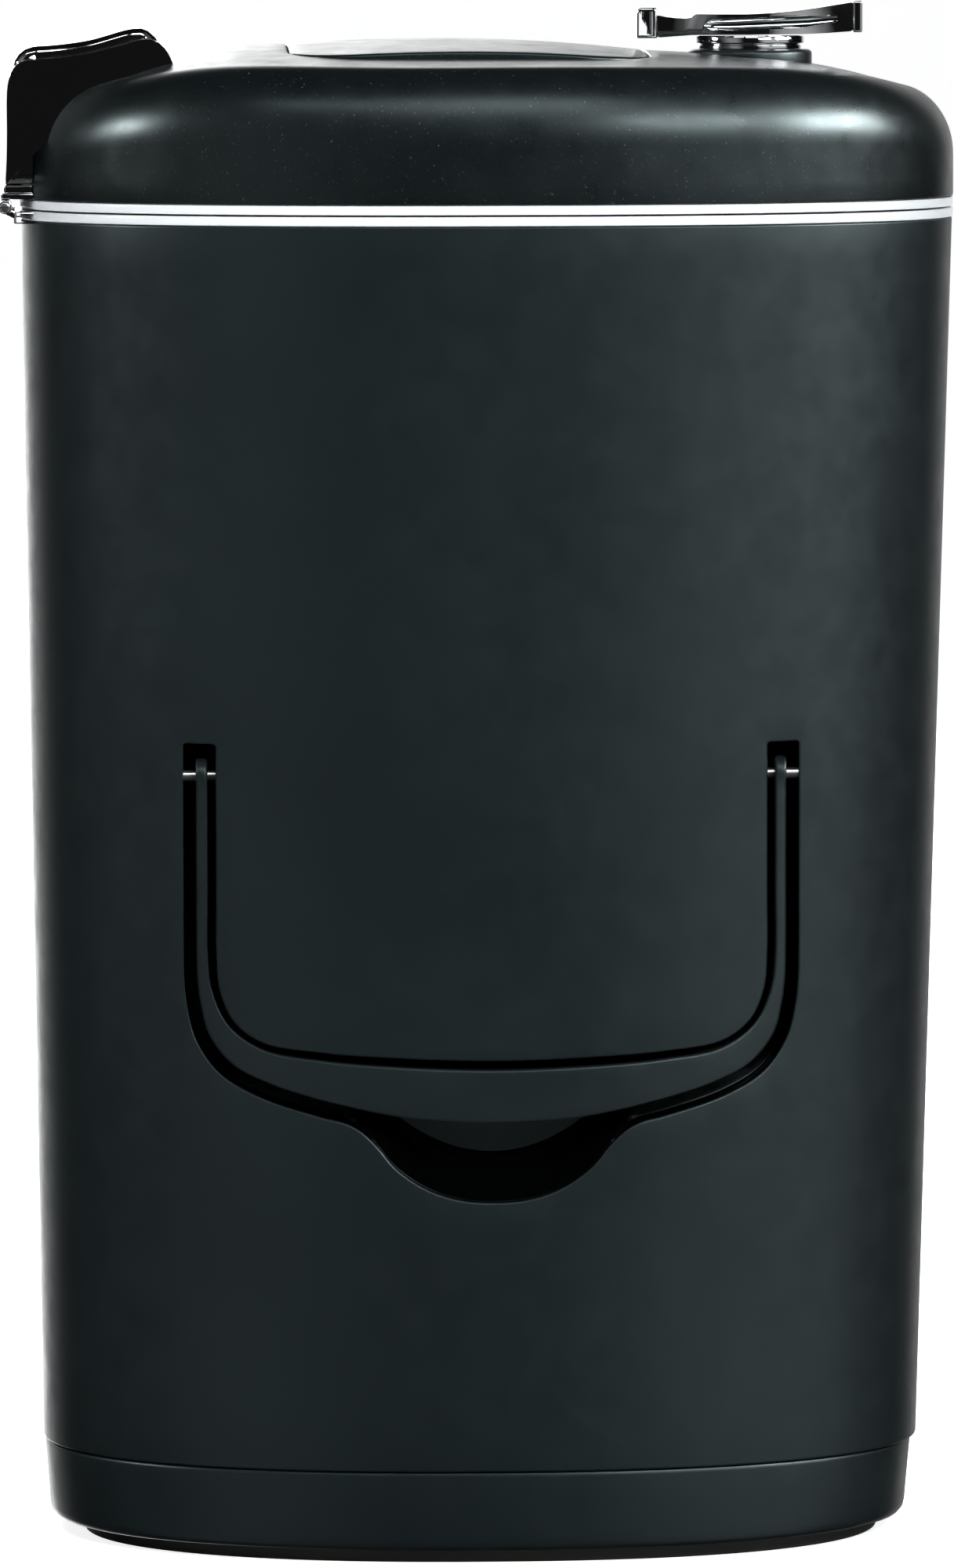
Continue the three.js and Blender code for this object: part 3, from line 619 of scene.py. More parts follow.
rim("mouth_ring", [(0.05, 566.7), (0.05, 570.6), (14, 570.6), (14, 556), (11.6, 556), (11.6, 566.7), (6.6, 566.7), (6.6, 553), (4.2, 553), (4.2, 566.7)],
    M_WHITE, "bin", "white_plastic", "body_rim_ring", 0.9)
rim("lid_rim", [(0.05, 571.4), (0.05, 575.3), (14, 575.3), (14, 571.4), (9.6, 571.4), (9.6, 573.4), (6, 573.4), (6, 571.4)],
    M_WHITE, "lid", "white_plastic", "lid_ring", 0.8)
rim("lid_seal", [(6.3, 571.0), (6.3, 573.1), (9.3, 573.1), (9.3, 571.0)], M_RUBBER, "lid", "rubber", "lid_gasket", 0.6)
rim("bag_band", [(7.2, 548), (7.2, 562), (11, 562), (11, 548)], M_NYLON, "bin", "grey_nylon", "bag_ring", 1.0)


def base_ring(l, r, b, z, off=0.0):
    return oval((l + r) / 2, (r - l) / 2 - off, b - off, z)


def base_pan():
    B = Build()
    prof = [(-181.5, 171.3, 126.6, 6.0), (-185.8, 175.5, 130.6, 6.1), (-188.4, 178.0, 132.5, 6.8), (-190.0, 179.6, 133.6, 8.6), (-190.7, 180.2, 134.1, 11.0),
            (-191.0, 180.6, 134.4, 16.0), (-191.8, 181.6, 134.9, 27.0), (-192.6, 182.6, 135.4, 37.6), (-192.6, 182.6, 135.3, 38.6), (-192.2, 182.2, 135.0, 39.3),
            (-191.5, 181.4, 134.4, 39.6), (-190.0, 181.5, 132.9, 39.65)]
    up = []
    for l, r, b, z in prof:
        up.append(base_ring(l, r, b, z))

    def body(off, z):
        cx, a, b = at(z)
        return oval(cx, a - off, b - off, z)
    up += [body(3.6, 39.7), body(3.45, 51.0), body(3.9, 51.9)]
    up += [base_ring(-187.2, 179.2, 130.4, 51.9), base_ring(-187, 179, 130.2, 51), base_ring(-186, 175.6, 129.8, 16), base_ring(-184.4, 174, 128.4, 11), base_ring(-181.5, 171, 125.5, 9.2)]
    ids = B.rings(up)
    B.fan(ids[-1], (-5.2, 0, 9.2))
    B.fan(ids[0], (-5.2, 0, 6.0))
    ob = B.obj("base_pan", [M_BODY], angle=40)
    return place(ob, "bin", "body_plastic", "base_tray")


base_pan()
rim("foot_band", [(0.2, 0.0), (0.0, 1.2), (0.0, 5.7), (14, 5.7), (14, 0.0)], M_RUBBER, "bin", "rubber", "foot_ring", 0.8,
    base=lambda off, z: base_ring(-176, 168, 124, z, off))


# ------------------------------------------------------------------ carry handles
H_Y = 0.0
hy = wall_y(MIDX + 122.5, 334, 0) - 8.2
H_OUT = [(124.9, 340.2), (124.9, 320), (124.9, 285), (124.9, 262), (124.5, 246), (123.2, 236.5), (119.8, 224.2), (109.6, 211.8), (93, 203.8), (79.5, 199.6),
         (66, 196.2), (36, 190.5), (0, 188.4)]
H_IN = [(0, 211), (46, 212.6), (73, 214.8), (97.0, 218.9), (111.2, 228.6), (118.2, 243.0), (120, 258), (120, 285), (120, 320), (120, 340.2)]
HANDLE = u_loop(H_OUT, H_IN, 1.2)


def handle(name, sign, body, node):
    B = Build()
    nrm = normals2(HANDLE)

    def yy(x, z, h):
        if z <= 330:
            return sign * wall_y(x, z, h)
        k = sstep(326, 336, z)
        front, back = wall_y(x, z, 1.6), wall_y(x, z, 13.2)
        t = (h - 1.6) / 11.6
        ht = 7.2 * math.sqrt(max(0.02, 1 - ((max(z, 334) - 334) / 7.5) ** 2))
        y = lerp(hy + ht, hy - ht * 0.8, t)
        return sign * lerp(lerp(front, back, t), y, k)

    def ring(d, h):
        out = []
        for i, (x, z) in enumerate(HANDLE):
            X, Z = x + nrm[i][0] * d, z + nrm[i][1] * d
            out.append((X, yy(X, Z, h), Z))
        return out
    r = 1.25
    back = [(-1.0, 13.2), (-0.3, 12.9), (0, 12.2)]
    front = [(-r * (1 - math.cos(f)), 1.6 + r * (1 - math.sin(f))) for f in np.linspace(0, math.pi / 2, 5)]
    rings = [ring(d, h) for d, h in back] + [ring(0, 9.0), ring(0, 6.0)] + [ring(d, h) for d, h in front]
    B.rings(rings)
    for d, h, rg in ((-1.0, 13.2, rings[0]), (-r, 1.6, rings[-1])):
        edge = [(p[0], p[2]) for p in rg]
        xs = [p[0] for p in edge]
        v, f = fill(edge, [], grid_pts(min(xs), max(xs), 188, 342, 3.4, 3.4), clear=0.9)
        ids = B.add([rg[i] if i < len(edge) else (x, yy(x, z, h), z) for i, (x, z) in enumerate(v)])
        for t in f:
            B.f.append(tuple(ids[i] for i in t))
            B.m.append(0)
    return place(B.obj(name, [M_HANDLE], angle=45, merge=0.01), body, "handle_plastic", node)


handle("carry_handle_near", -1, "handle_near", "handle_near")
handle("carry_handle_far", 1, "handle_far", "handle_far")


def turned(profile, axis, origin, seg=40, cap=True):
    """Surface of revolution: profile (radius, height) about an axis through origin."""
    rings = []
    for r, h in profile:
        ring = []
        for i in range(seg):
            t = i / seg * 2 * math.pi
            c, s = r * math.cos(t), r * math.sin(t)
            if axis == "z":
                ring.append((origin[0] + c, origin[1] + s, h))
            elif axis == "y":
                ring.append((origin[0] + c, h, origin[1] + s))
            else:
                ring.append((h, origin[0] + c, origin[1] + s))
        rings.append(ring)
    B = Build()
    ids = B.rings(rings)
    if cap:
        B.cap(ids[0])
        B.cap(ids[-1])
    return B


for side, f in (("near", -1), ("far", 1)):
    for end, s in (("rear", -1), ("front", 1)):
        x0, x1 = (MIDX - 131.8, MIDX - 115) if s < 0 else (MIDX + 115, MIDX + 131.8)
        nd = "handle_pin_%s_%s" % (side, end)
        ob = turned([(2.1, x0), (2.5, x0 + 0.4), (2.5, x1 - 0.4), (2.1, x1)], "x", (f * hy, 334), 28).obj("pivot_" + nd[7:], [M_PIN])
        place(ob, "bin", "steel", nd)


# ------------------------------------------------------------------ lid
RIDGE = [(-205, 610), (-190, 616), (-174.5, 621.5), (-166, 625.5), (-150, 632), (-135, 636.8), (-120, 639.2), (-103, 640.3), (-60, 641), (-10, 640.4), (30, 639.6),
         (64, 638.4), (87, 636.9), (100, 636), (125, 634), (141, 632.2), (161, 628), (174.8, 623.2), (190, 617.5), (205, 611)]
_px = np.array([p[0] for p in RIDGE]) / 205
_pz = np.array([p[1] for p in RIDGE])
RFIT = np.polyfit(_px, _pz, 8)


def lid_top(x, y):
    return float(np.polyval(RFIT, x / 205)) - (9.8 - 0.03 * x) * (y / 146) ** 2


def lid_edge(seg=SEG):
    a, b = 200.9, 146.4
    e = []
    for i in range(seg):
        t = i / seg * 2 * math.pi
        c, s = math.cos(t), math.sin(t)
        w = abs(c) ** 1.5
        cc, ss = math.copysign(abs(c) ** (2 / N), c), math.copysign(abs(s) ** (2 / N), s)
        rh, rv = lerp(22, 26, w), lerp(34, 30, w)
        x, y = (a - rh) * cc, (b - rh) * ss
        e.append((cc, ss, rh, rv, lid_top(x, y)))
    return e


CAP = dict(x0=-86.0, x1=67.0, y=95.0, r=30.0)
CMX = (CAP["x0"] + CAP["x1"]) / 2


def rrect(x0, x1, y0, y1, r, k=10, n=14):
    out = []
    for cx, cy, a in ((x1 - r, y1 - r, 0), (x0 + r, y1 - r, 90), (x0 + r, y0 + r, 180), (x1 - r, y0 + r, 270)):
        out += arc(cx, cy, r, a, a + 90, k)
    full = []
    m = len(out)
    for i in range(m):
        p, q = out[i], out[(i + 1) % m]
        d = math.hypot(q[0] - p[0], q[1] - p[1])
        c = max(1, int(d / 5))
        for j in range(c):
            full.append((lerp(p[0], q[0], j / c), lerp(p[1], q[1], j / c)))
    return ccw(full)


def lid_shell():
    B = Build()
    e = lid_edge()
    a, b = 200.9, 146.4
    rings = [[((a - 0.5) * c, (b - 0.5) * s, 575.6) for c, s, *_ in e], [((a - 0.12) * c, (b - 0.12) * s, 575.9) for c, s, *_ in e],
             [(a * c, b * s, 576.5) for c, s, *_ in e], [(a * c, b * s, 584.0) for c, s, *_ in e]]
    for f in np.linspace(0, 90, 21):
        cf, sf = math.cos(math.radians(f)), math.sin(math.radians(f))
        rings.append([((a - rh * (1 - cf)) * c, (b - rh * (1 - cf)) * s, z - rv * (1 - sf)) for c, s, rh, rv, z in e])
    B.rings(rings)
    last = rings[-1]
    edge = [(p[0], p[1]) for p in last]
    r = 1.0
    cap = rrect(CAP["x0"], CAP["x1"], -CAP["y"], CAP["y"], CAP["r"])
    prof = [(0.55 + r * (1 - math.sin(f)), r * (1 - math.cos(f))) for f in np.linspace(0, math.pi / 2, 4)]
    hole = offset2(cap, prof[0][0])
    v, f = fill(edge, [hole], grid_pts(-176, 176, -134, 134, 7, 7), clear=2.5)
    ids = B.add([last[i] if i < len(edge) else (x, y, lid_top(x, y)) for i, (x, y) in enumerate(v)])
    for t in f:
        B.f.append(tuple(ids[i] for i in t))
        B.m.append(0)
    lips = []
    for d, h in prof:
        lips.append([(x, y, lid_top(x, y) - h) for x, y in offset2(cap, d)])
    lips.append([(x, y, lid_top(x, y) - 6.0) for x, y in offset2(cap, 0.55)])
    lips.append([(x, y, lid_top(x, y) - 6.0) for x, y in offset2(cap, 3.4)])
    lips.append([(x, y, lid_top(x, y) - 3.0) for x, y in offset2(cap, 3.4)])
    B.rings(lips)
    # inner skin
    inner = [[((a - 3) * c, (b - 3) * s, 575.6) for c, s, *_ in e], [((a - 3) * c, (b - 3) * s, 585.0) for c, s, *_ in e]]
    for f2 in np.linspace(0, 90, 9):
        cf, sf = math.cos(math.radians(f2)), math.sin(math.radians(f2))
        inner.append([((a - 3 - (rh - 2) * (1 - cf)) * c, (b - 3 - (rh - 2) * (1 - cf)) * s, z - 3 - (rv - 2) * (1 - sf)) for c, s, rh, rv, z in e])
    ids_in = B.rings(inner)
    edge2 = [(p[0], p[1]) for p in inner[-1]]
    hole2 = offset2(cap, 3.4)
    v, f = fill(edge2, [hole2], grid_pts(-174, 174, -132, 132, 14, 14), clear=3)
    ids = B.add([inner[-1][i] if i < len(edge2) else (x, y, lid_top(x, y) - 3) for i, (x, y) in enumerate(v)])
    for t in f:
        B.f.append(tuple(ids[i] for i in t))
        B.m.append(0)
    B.strip(B.add(rings[0]), ids_in[0], True)
    ob = B.obj("lid_cover", [M_LID], angle=42, merge=0.02)
    return place(ob, "lid", "lid_plastic", "lid_shell")


lid_shell()


def cap_top(x, y):
    return lid_top(x, y) + 2.7 * max(0.0, 1 - ((x - CMX) / 76.5) ** 2)


def press_cap():
    B = Build()
    cap = rrect(CAP["x0"], CAP["x1"], -CAP["y"], CAP["y"], CAP["r"])
    r = 1.2
    prof = [(-1.5, 629.5, 0), (-0.4, 629.8, 0), (0, 631.0, 0)] + [(-r * (1 - math.cos(f)), None, r * (1 - math.sin(f))) for f in np.linspace(0, math.pi / 2, 5)]
    rings = []
    for d, z, h in prof:
        rings.append([(x, y, z if z is not None else cap_top(x, y) - h) for x, y in offset2(cap, d)])
    ids = B.rings(rings)
    for k, ring in ((0, rings[0]), (1, rings[-1])):
        edge = [(p[0], p[1]) for p in ring]
        v, f = fill(edge, [], grid_pts(-85, 66, -94, 94, 6, 6), clear=2)
        idv = B.add([ring[i] if i < len(edge) else (x, y, cap_top(x, y) if k else 629.5) for i, (x, y) in enumerate(v)])
        for t in f:
            B.f.append(tuple(idv[i] for i in t))
            B.m.append(0)
    return place(B.obj("press_panel", [M_LID], angle=42), "press", "lid_plastic", "press_cap")


press_cap()


# ------------------------------------------------------------------ hinge
def lid_tool(grow=0.5):
    """The lid's outside as one closed tool for trimming what sits on it."""
    B = Build()
    e = lid_edge(160)
    a, b = 200.9 + grow, 146.4 + grow
    rings = [[(a * c, b * s, 560.0) for c, s, *_ in e]]
    for f in np.linspace(0, 90, 12):
        cf, sf = math.cos(math.radians(f)), math.sin(math.radians(f))
        rings.append([((a - rh * (1 - cf)) * c, (b - rh * (1 - cf)) * s, z + grow - rv * (1 - sf)) for c, s, rh, rv, z in e])
    for k in (0.85, 0.65, 0.45, 0.25, 0.1):
        rings.append([((a - rh) * c * k, (b - rh) * s * k, lid_top((a - rh) * c * k, (b - rh) * s * k) + grow) for c, s, rh, rv, z in e])
    ids = B.rings(rings)
    B.cap(ids[0])
    B.fan(ids[-1], (0, 0, lid_top(0, 0) + grow))
    return B.obj("tool", [])


def along_y(prof, y0, y1, r, k=4, ends=True):
    """Side profile (x, z) carried along Y with its end edges rounded by r."""
    prof = ccw(clean_loop(prof))
    steps = [(-r * (1 - math.sin(f)), r * (1 - math.cos(f))) for f in np.linspace(0, math.pi / 2, k + 1)]
    rings = [[(x, y0 + h, z) for x, z in offset2(prof, d)] for d, h in steps]
    rings += [[(x, y1 - h, z) for x, z in offset2(prof, d)] for d, h in steps[::-1]]
    B = Build()
    ids = B.rings(rings)
    for ring_ids, ring in ((ids[0], rings[0]), (ids[-1], rings[-1])):
        v, f = fill([(p[0], p[2]) for p in ring], [], [])
        n = len(ring)
        for t in f:
            if max(t) < n:
                B.f.append(tuple(ring_ids[i] for i in t))
                B.m.append(0)
    return B


ARM = [(-206.8, 582.2), (-206.2, 593.5), (-206.0, 605), (-206.0, 618.8), (-205.6, 624.5), (-204.2, 629.8), (-201.6, 633.4), (-197.6, 635.1), (-192.5, 635.5), (-186.5, 635.8),
       (-175.9, 637.1), (-166.7, 638.9), (-157.6, 641.3), (-151.8, 643.0), (-148.0, 643.9), (-144.6, 643.8), (-141.3, 642.5), (-138.6, 639.9), (-136.2, 635.8), (-134.0, 630.0)]
TIER = [(-203.4, 631.5), (-202.8, 634.4), (-201.0, 637.2), (-198.4, 639.3), (-195.0, 640.4), (-187.9, 640.9), (-180.1, 641.7), (-170.6, 643.2), (-162.1, 645.5), (-156.3, 647.2),
        (-152.0, 648.0), (-148.5, 648.1), (-145.6, 647.0), (-142.6, 644.4), (-140.0, 640.5), (-138.6, 636.0)]


def paint_edge_highlight(ob, mat):
    """Painted highlight: the rounded end-edge fillets get a brighter, rougher copy of the chrome, drawing a highlight
    line along them.
    """
    ob.data.materials.append(mat)
    k = len(ob.data.materials) - 1
    for p in ob.data.polygons:
        if 0.22 < abs(p.normal.y) < 0.93:
            p.material_index = k


def hinge_arm():
    arm = along_y(spline(ARM, 2.0) + [(-134.0, 615), (-160, 600), (-190, 582.2)], -46, 46, 4.0, 8).obj("hinge_arm_cover", [M_CHROME], angle=40)
    boolean(arm, lid_tool(0.45))
    finish_shade(arm, 40)
    paint_edge_highlight(arm, M_EDGE_HIGHLIGHT)
    place(arm, "lid", "chrome", "hinge_arm")
    top = along_y(spline(TIER, 2.0) + [(-150, 625), (-190, 622)], -17, 17, 3.6, 7).obj("hinge_arm_ridge", [M_CHROME], angle=40)
    cutter = along_y([(x, z + 0.15) for x, z in spline(ARM, 2.0)] + [(-134.0, 610), (-190, 600)], -60, 60, 0.01, 1).obj("cutter", [])
    boolean(top, cutter)
    finish_shade(top, 40)
    place(top, "lid", "chrome", "hinge_arm_cap")


hinge_arm()


def knuckle(name, y0, y1, bore=1.75, r=3.0, seg=40):
    """Rolled hinge barrel along Y with rounded end edges."""
    pr = [(bore, y0 + 0.2), (bore + 0.3, y0), (r - 0.4, y0), (r - 0.1, y0 + 0.12), (r, y0 + 0.5), (r, y1 - 0.5), (r - 0.1, y1 - 0.12), (r - 0.4, y1), (bore + 0.3, y1), (bore, y1 - 0.2)]
    B = turned(pr, "y", (-207, 572.3), seg, cap=False)
    n = seg
    first, last = list(range(n)), list(range(len(B.v) - n, len(B.v)))
    B.strip(last, first, True)
    return B


def merge_into(B, C):
    i = len(B.v)
    B.v += C.v
    B.f += [tuple(k + i for k in f) for f in C.f]
    B.m += C.m


def rounded_rect_prof(x0, x1, z0, z1, r, k=3):
    out = []
    for cx, cz, a in ((x1 - r, z1 - r, 0), (x0 + r, z1 - r, 90), (x0 + r, z0 + r, 180), (x1 - r, z0 + r, 270)):
        out += arc(cx, cz, r, a, a + 90, k)
    return out


def hinge():
    # fixed leaf on the lower ring
    leaf = along_y([(-203.3, 565.8), (-202.9, 565.4), (-180, 565.4), (-180, 570.5), (-202.9, 570.5), (-203.3, 570.1)], -45.9, 45.9, 0.7, 3).obj("hinge_leaf_fixed", [M_CHROME])
    B = Build()
    B.rings([oval(0, 201.1, 146.6, 540, 160), oval(0, 201.1, 146.6, 600, 160)])
    B2 = B.obj("t", [])
    bm = bmesh.new()
    bm.from_mesh(B2.data)
    bmesh.ops.holes_fill(bm, edges=bm.edges)
    bmesh.ops.recalc_face_normals(bm, faces=bm.faces)
    bm.to_mesh(B2.data)
    bm.free()
    boolean(leaf, B2)
    for s in (-1, 1):
        y0, y1 = (-45.9, -28.2) if s < 0 else (28.2, 45.9)
        k = knuckle("k", y0, y1).obj("kn", [M_CHROME])
        web = along_y([(-206.9, 569.35), (-202.9, 567.4), (-202.9, 570.3), (-205.8, 570.9)], y0 + 0.2, y1 - 0.2, 0.3, 2).obj("web", [M_CHROME])
        for o in (k, web):
            boolean(leaf, o, "UNION")
    finish_shade(leaf, 40)
    place(leaf, "bin", "chrome", "hinge_bracket")
    # leaf and knuckle on the lid
    strap = along_y(rounded_rect_prof(-208.8, -180, 575.8, 578.4, 0.8), -45.9, 45.9, 0.7, 3).obj("hinge_leaf_lid", [M_CHROME])
    plate2 = along_y(rounded_rect_prof(-207.6, -180, 578.2, 581.8, 0.9), -44.6, 44.6, 0.7, 3).obj("p2", [M_CHROME])
    boolean(strap, plate2, "UNION")
    web = along_y(rounded_rect_prof(-208.9, -205.4, 573.0, 577.0, 0.5), -27.5, 27.5, 0.3, 2).obj("w", [M_CHROME])
    boolean(strap, web, "UNION")
    k = knuckle("k", -27.6, 27.6).obj("kn", [M_CHROME])
    boolean(strap, k, "UNION")
    bore = turned([(1.75, -40), (1.75, 40)], "y", (-207, 572.3), 40).obj("bore", [])
    boolean(strap, bore)
    boolean(strap, lid_tool(0.4))
    finish_shade(strap, 40)
    place(strap, "lid", "chrome", "hinge_strap")
    # pin with slotted heads
    p = turned([(0.3, -48.6), (1.7, -48.6), (2.15, -48.4), (2.3, -48.0), (2.3, -46.7), (2.1, -46.4), (1.6, -46.4), (1.6, 46.4), (2.1, 46.4), (2.3, 46.7),
                (2.3, 48.0), (2.15, 48.4), (1.7, 48.6), (0.3, 48.6)], "y", (-207, 572.3), 40).obj("hinge_pin_turned", [M_STEEL])
    for y0, y1 in ((-49.5, -47.9), (47.9, 49.5)):
        B = along_y([(-210, 571.95), (-204, 571.95), (-204, 572.65), (-210, 572.65)], y0, y1, 0.02, 1).obj("slot", [])
        boolean(p, B)
    finish_shade(p, 35)
    place(p, "bin", "steel", "hinge_pin")


hinge()

# ------------------------------------------------------------------ latch
LX = 113.5


def turret():
    ob = turned([(10.5, 626.0), (26.9, 626.0), (26.9, 636.4), (26.7, 637.2), (26.1, 637.8), (25.2, 638.15), (24.4, 638.2), (10.5, 638.2)], "z", (LX, 0), 96).obj("turret_disc", [M_TURRET])
    boolean(ob, lid_tool(0.25))
    finish_shade(ob, 35)
    place(ob, "lid", "gloss_black", "turret_base")
    # a shadow groove half way up, then a polished upper flange
    col = turned([(12, 638.5), (22.0, 638.5), (22.3, 638.7), (22.3, 639.9), (21.7, 640.2), (21.7, 640.6), (23.2, 640.9), (23.5, 641.3), (23.5, 643.3), (23.2, 643.9), (22.4, 644.2), (12, 644.2)],
                 "z", (LX, 0), 96).obj("lever_turret", [M_CHROME], angle=30)
    place(col, "latch", "chrome", "lever_collar")


turret()
LEVER = [(74.5, 643.5), (88, 644.5), (112, 644.55), (135.9, 644.8), (146.4, 645.2), (156.5, 645.9), (157.6, 646.4), (157.6, 657.9), (156.8, 658.4), (153.2, 657.8), (143, 656.2),
         (132.5, 654.8), (122.3, 653.9), (111.7, 653.4), (99, 653.4), (89.6, 653.5), (88.6, 653.0), (87.6, 652.0), (85.2, 651.6), (81, 651.8), (77, 652.3), (73.6, 653.0), (72.8, 652.8), (72.8, 643.8)]


def lever():
    plan = [(70, -11.8), (78, -12.6), (88, -14.6), (98, -17.0), (106, -18.2), (113.5, -18.5), (121, -18.2), (130, -16.6), (141, -14.2), (150, -12.9), (160, -12.4)]
    plan = spline(plan, 3)
    plan = plan + [(x, -y) for x, y in plan[::-1]]

    def prism(pl, z0, z1, r):
        pl = ccw(clean_loop(pl))
        steps = [(-r * (1 - math.sin(f)), r * (1 - math.cos(f))) for f in np.linspace(0, math.pi / 2, 4)]
        B = Build()
        ids = B.rings([[(x, y, z0 + h) for x, y in offset2(pl, d)] for d, h in steps] + [[(x, y, z1 - h) for x, y in offset2(pl, d)] for d, h in steps[::-1]])
        B.cap(ids[0])
        B.cap(ids[-1])
        return B
    bar = along_y(LEVER, -30, 30, 0.01, 1).obj("lever_bar", [M_CHROME])
    boolean(bar, prism(plan, 640, 662, 0.01).obj("t", []), "INTERSECT")
    # a shallow waist along each flank
    for s in (-1, 1):
        w = turned([(0.4, 92.0), (2.2, 96.0), (2.9, 104), (2.9, 138), (2.3, 150), (0.4, 154)], "x", (s * 19.6, 649.2), 28).obj("w", [])
        for v in w.data.vertices:
            x = v.co.x * 1000 - SX
            yy = np.interp(x, [92, 113.5, 130, 141, 154], [16.6, 19.9, 18.3, 15.9, 14.2])
            v.co.y += s * (yy - 19.6) / 1000
            v.co.z += np.interp(x, [92, 113.5, 135, 154], [-0.4, 0.0, 0.9, 2.4]) / 1000
        boolean(bar, w)
    bevel(bar, 0.55, 3, 32)
    finish_shade(bar, 42)
    # end pad and rear block, made in one with the bar
    pad = along_y(rounded_rect_prof(157.4, 161.4, 645.5, 659.0, 0.7), -13.4, 13.4, 0.8, 3).obj("pad", [M_CHROME])
    blk = along_y([(64.4, 643.6), (65.0, 643.2), (73.1, 643.2), (73.1, 655.4), (72.3, 656.3), (66.2, 656.3), (65.0, 655.8), (64.5, 654.6)], -11.9, 11.9, 0.9, 3).obj("blk", [M_CHROME])
    for y in (-7.5, -4.5, -1.5, 1.5, 4.5, 7.5):
        g = turned([(0.75, 641), (0.75, 660)], "z", (64.2, y), 16).obj("g", [])
        boolean(blk, g)
    for s in (-1, 1):
        for x in (66.9, 70.6):
            g = turned([(0.8, 644.6), (0.8, 654.6)], "z", (x, s * 12.2), 16).obj("g", [])
            boolean(blk, g)
    boolean(bar, pad, "UNION")
    boolean(bar, blk, "UNION")
    finish_shade(bar, 36)
    place(bar, "latch", "chrome", "lever")


lever()

# ------------------------------------------------------------------ under the lid
def press_plate():
    B = Build()
    f = lambda off, z: oval(-1, 174 - off, 118 - off, z)
    rings = [f(9, 539.4), f(7.5, 538.4), f(5.5, 538.25), f(2.2, 539.2), f(0.6, 540.4), f(0, 541.4), f(0, 543.2), f(0.5, 543.7), f(6, 543.7)]
    ids = B.rings(rings)
    B.fan(ids[-1], (-1, 0, 543.7))
    B.fan(ids[0], (-1, 0, 539.4))
    ob = B.obj("press_plate_moulded", [M_NYLON], angle=35)
    # raised ribs on the pressing face
    for x in (-132, -99, -66, -33, 0, 33, 66, 99, 132):
        L = wall_len = 118 * (1 - (abs(x) / 166) ** N) ** (1 / N) - 12 if abs(x) < 160 else 30
        r = along_y(rounded_rect_prof(x - 2.2, x + 0.2, 538.3, 540.2, 0.7), -L, L, 0.7, 2).obj("r", [])
        boolean(ob, r, "UNION")
    for y in (-80, -40, 0, 40, 80):
        L = 174 * (1 - (abs(y) / 112) ** N) ** (1 / N) - 14
        B = Build()
        p = [(q[0], q[1]) for q in rounded_rect_prof(y - 1.2, y + 1.2, 538.3, 540.2, 0.7)]
        ids = B.rings([[(-L - 1, a, b) for a, b in p], [(L - 1, a, b) for a, b in p]])
        B.cap(ids[0])
        B.cap(ids[1])
        boolean(ob, B.obj("r", []), "UNION")
    finish_shade(ob, 35)
    place(ob, "press", "grey_nylon", "press_plate")


press_plate()
rim("plate_lip", [(-0.4, 540.2), (-3.6, 541), (-3.6, 543.4), (-0.4, 544.2)], M_RUBBER, "press", "rubber", "plate_wiper", 0.7, base=lambda off, z: oval(-1, 174 - off, 118 - off, z))

# carried-over CAD nodes get their own procedural finish
CARRY = {"press_frame": M_NYLON, "shaft_bush": M_NYLON, "latch_pad": M_RUBBER}
shown = set()
for name, ob in frame["nodes"].items():
    mat = CARRY.get(name, M_NYLON if name.startswith("press_post") else M_STEEL)
    for sl in ob.material_slots:
        sl.material = mat

# ------------------------------------------------------------------ stage, light, camera
def stage():
    me = bpy.data.meshes.new("studio_floor")
    R = 400
    me.from_pydata([(-R, -R, 0), (R, -R, 0), (R, R, 0), (-R, R, 0)], [], [(0, 1, 2, 3)])
    ob = bpy.data.objects.new("studio_floor", me)
    bpy.context.collection.objects.link(ob)
    m, nt, b, co = shader("studio_white", (0.93, 0.93, 0.93), 0.9)
    n = noise(nt, co, 3, 2)
    nt.links.new(mix_col(nt, n, (0.92, 0.92, 0.92), (0.94, 0.94, 0.94)), b.inputs["Base Color"])
    lp = nt.nodes.new("ShaderNodeLightPath")
    nt.links.new(ramp(nt, lp.outputs["Is Camera Ray"], 0, 1, 0, 0.85), b.inputs["Emission Strength"])
    b.inputs["Emission Color"].default_value = (1, 1, 1, 1)
    me.materials.append(m)
    ob.visible_glossy = False


stage()


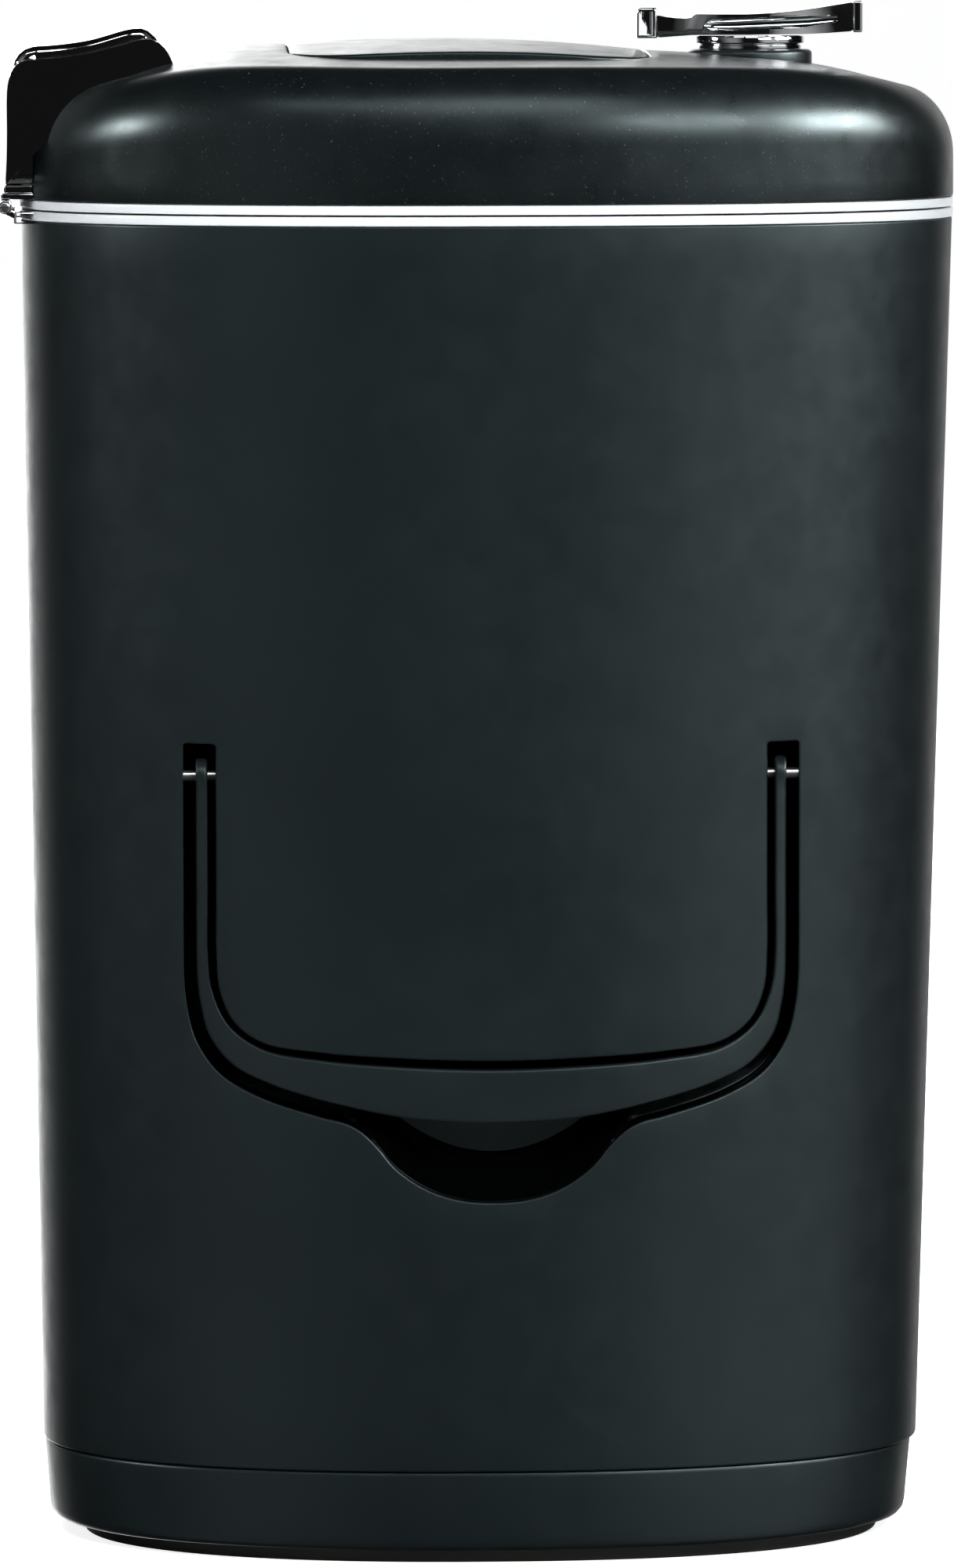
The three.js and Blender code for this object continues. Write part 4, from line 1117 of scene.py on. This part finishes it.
def world():
    w = bpy.data.worlds.new("studio")
    bpy.context.scene.world = w
    w.use_nodes = True
    nt = w.node_tree
    bg = nt.nodes["Background"]
    tc = nt.nodes.new("ShaderNodeTexCoord")
    sep = nt.nodes.new("ShaderNodeSeparateXYZ")
    nt.links.new(tc.outputs["Generated"], sep.inputs["Vector"])

    def rng(o, lo, hi, a, b):
        r = nt.nodes.new("ShaderNodeMapRange")
        r.interpolation_type = "SMOOTHSTEP"
        for k, v in (("From Min", lo), ("From Max", hi), ("To Min", a), ("To Max", b)):
            r.inputs[k].default_value = v
        nt.links.new(o, r.inputs["Value"])
        return r.outputs["Result"]

    def math2(op, a, b):
        m = nt.nodes.new("ShaderNodeMath")
        m.operation = op
        for i, q in enumerate((a, b)):
            if isinstance(q, (int, float)):
                m.inputs[i].default_value = q
            else:
                nt.links.new(q, m.inputs[i])
        return m.outputs[0]
    # a white wall behind, low over the floor; two dim panels either side of the camera; dark elsewhere
    wall = math2("MULTIPLY", rng(sep.outputs["Y"], 0.74, 0.95, 0.0, 1.5), rng(sep.outputs["Z"], 0.32, 0.58, 1.0, 0.0))
    ax = math2("ABSOLUTE", sep.outputs["X"], 0)
    panel = math2("MULTIPLY", rng(sep.outputs["Y"], -0.15, 0.05, 1.0, 0.0), rng(ax, 0.24, 0.55, 0.004, 0.46))
    panel = math2("MULTIPLY", panel, rng(sep.outputs["X"], -0.3, 0.5, 0.5, 1.0))
    panel = math2("MULTIPLY", panel, rng(sep.outputs["Z"], 0.30, 0.70, 1.0, 0.12))
    panel = math2("MULTIPLY", panel, rng(sep.outputs["X"], -0.95, -0.68, 0.04, 1.0))
    wall = math2("MULTIPLY", wall, rng(sep.outputs["X"], -0.10, 0.12, 3.2, 0.45))
    wall = math2("MULTIPLY", wall, rng(sep.outputs["X"], -0.34, -0.20, 0.22, 1.0))
    lit = math2("ADD", math2("ADD", wall, panel), 0.004)
    lp = nt.nodes.new("ShaderNodeLightPath")
    st = math2("MAXIMUM", lit, lp.outputs["Is Camera Ray"])
    bg.inputs["Color"].default_value = (1, 1, 1, 1)
    nt.links.new(st, bg.inputs["Strength"])


world()


def area(name, loc, target, sx, sy, power, color=(1, 1, 1)):
    d = bpy.data.lights.new(name, "AREA")
    d.shape = "RECTANGLE"
    d.size, d.size_y, d.energy, d.color = sx, sy, power, color
    o = bpy.data.objects.new(name, d)
    o.location = loc
    o.rotation_euler = (Vector(target) - Vector(loc)).to_track_quat("-Z", "Y").to_euler()
    bpy.context.collection.objects.link(o)
    return o


def polar(azimuth, elevation, r, z=0.60):
    """Place in the studio; azimuth counts from the camera's side towards +X."""
    a, e = math.radians(azimuth), math.radians(elevation)
    return (r * math.cos(e) * math.sin(a), -r * math.cos(e) * math.cos(a), z + r * math.sin(e))


def only(light, diffuse=True, glossy=True):
    light.visible_diffuse, light.visible_glossy = diffuse, glossy
    return light


only(area("box_right", polar(76, 20, 2.8), (0.12, 0, 0.60), 1.7, 0.62, 125), diffuse=False)
only(area("box_right_front", polar(33, 23, 3.2), (0.1, 0, 0.60), 1.4, 0.6, 40), diffuse=False)
only(area("box_front", polar(5, 42, 3.4), (0, 0, 0.60), 1.3, 0.9, 17), diffuse=False)
only(area("strip_left_front", polar(-27, 42, 3.4), (-0.17, 0, 0.63), 1.1, 0.3, 5), diffuse=False)
only(area("box_left", polar(-83, 17, 2.8), (-0.15, 0, 0.60), 0.6, 0.4, 34), diffuse=False)
only(area("fill_left", polar(-14, 36, 3.6), (0, 0, 0.40), 1.4, 1.0, 80, (0.94, 1.0, 1.0)), glossy=False)
only(area("fill_right", polar(32, 28, 3.8), (0, 0, 0.40), 1.4, 1.0, 70, (0.94, 1.0, 1.0)), glossy=False)
only(area("fill_back", polar(165, 35, 3.8), (0, 0, 0.40), 1.4, 1.0, 70), glossy=False)
only(area("floor_wash", (0.0, 2.6, 3.4), (0, 1.6, 0.0), 5.0, 3.0, 150), glossy=False)


def camera():
    c = bpy.data.cameras.new("camera")
    c.sensor_fit = "VERTICAL"
    c.sensor_height = 36
    c.sensor_width = 36
    c.lens = 266.2
    o = bpy.data.objects.new("camera", c)
    yaw, pitch, roll, dist = math.radians(-2.0), math.radians(4.52), math.radians(-0.13), 5.0
    o.location = (-0.00007 + dist * math.sin(yaw), -dist * math.cos(yaw), 0.7165)
    o.rotation_euler = (Matrix.Rotation(yaw, 3, "Z") @ Matrix.Rotation(math.radians(90) - pitch, 3, "X") @ Matrix.Rotation(roll, 3, "Z")).to_euler()
    c.clip_end = 1000
    bpy.context.collection.objects.link(o)
    bpy.context.scene.camera = o
    return o


camera()
sc = bpy.context.scene
sc.view_settings.view_transform = "Standard"
sc.view_settings.look = "None"
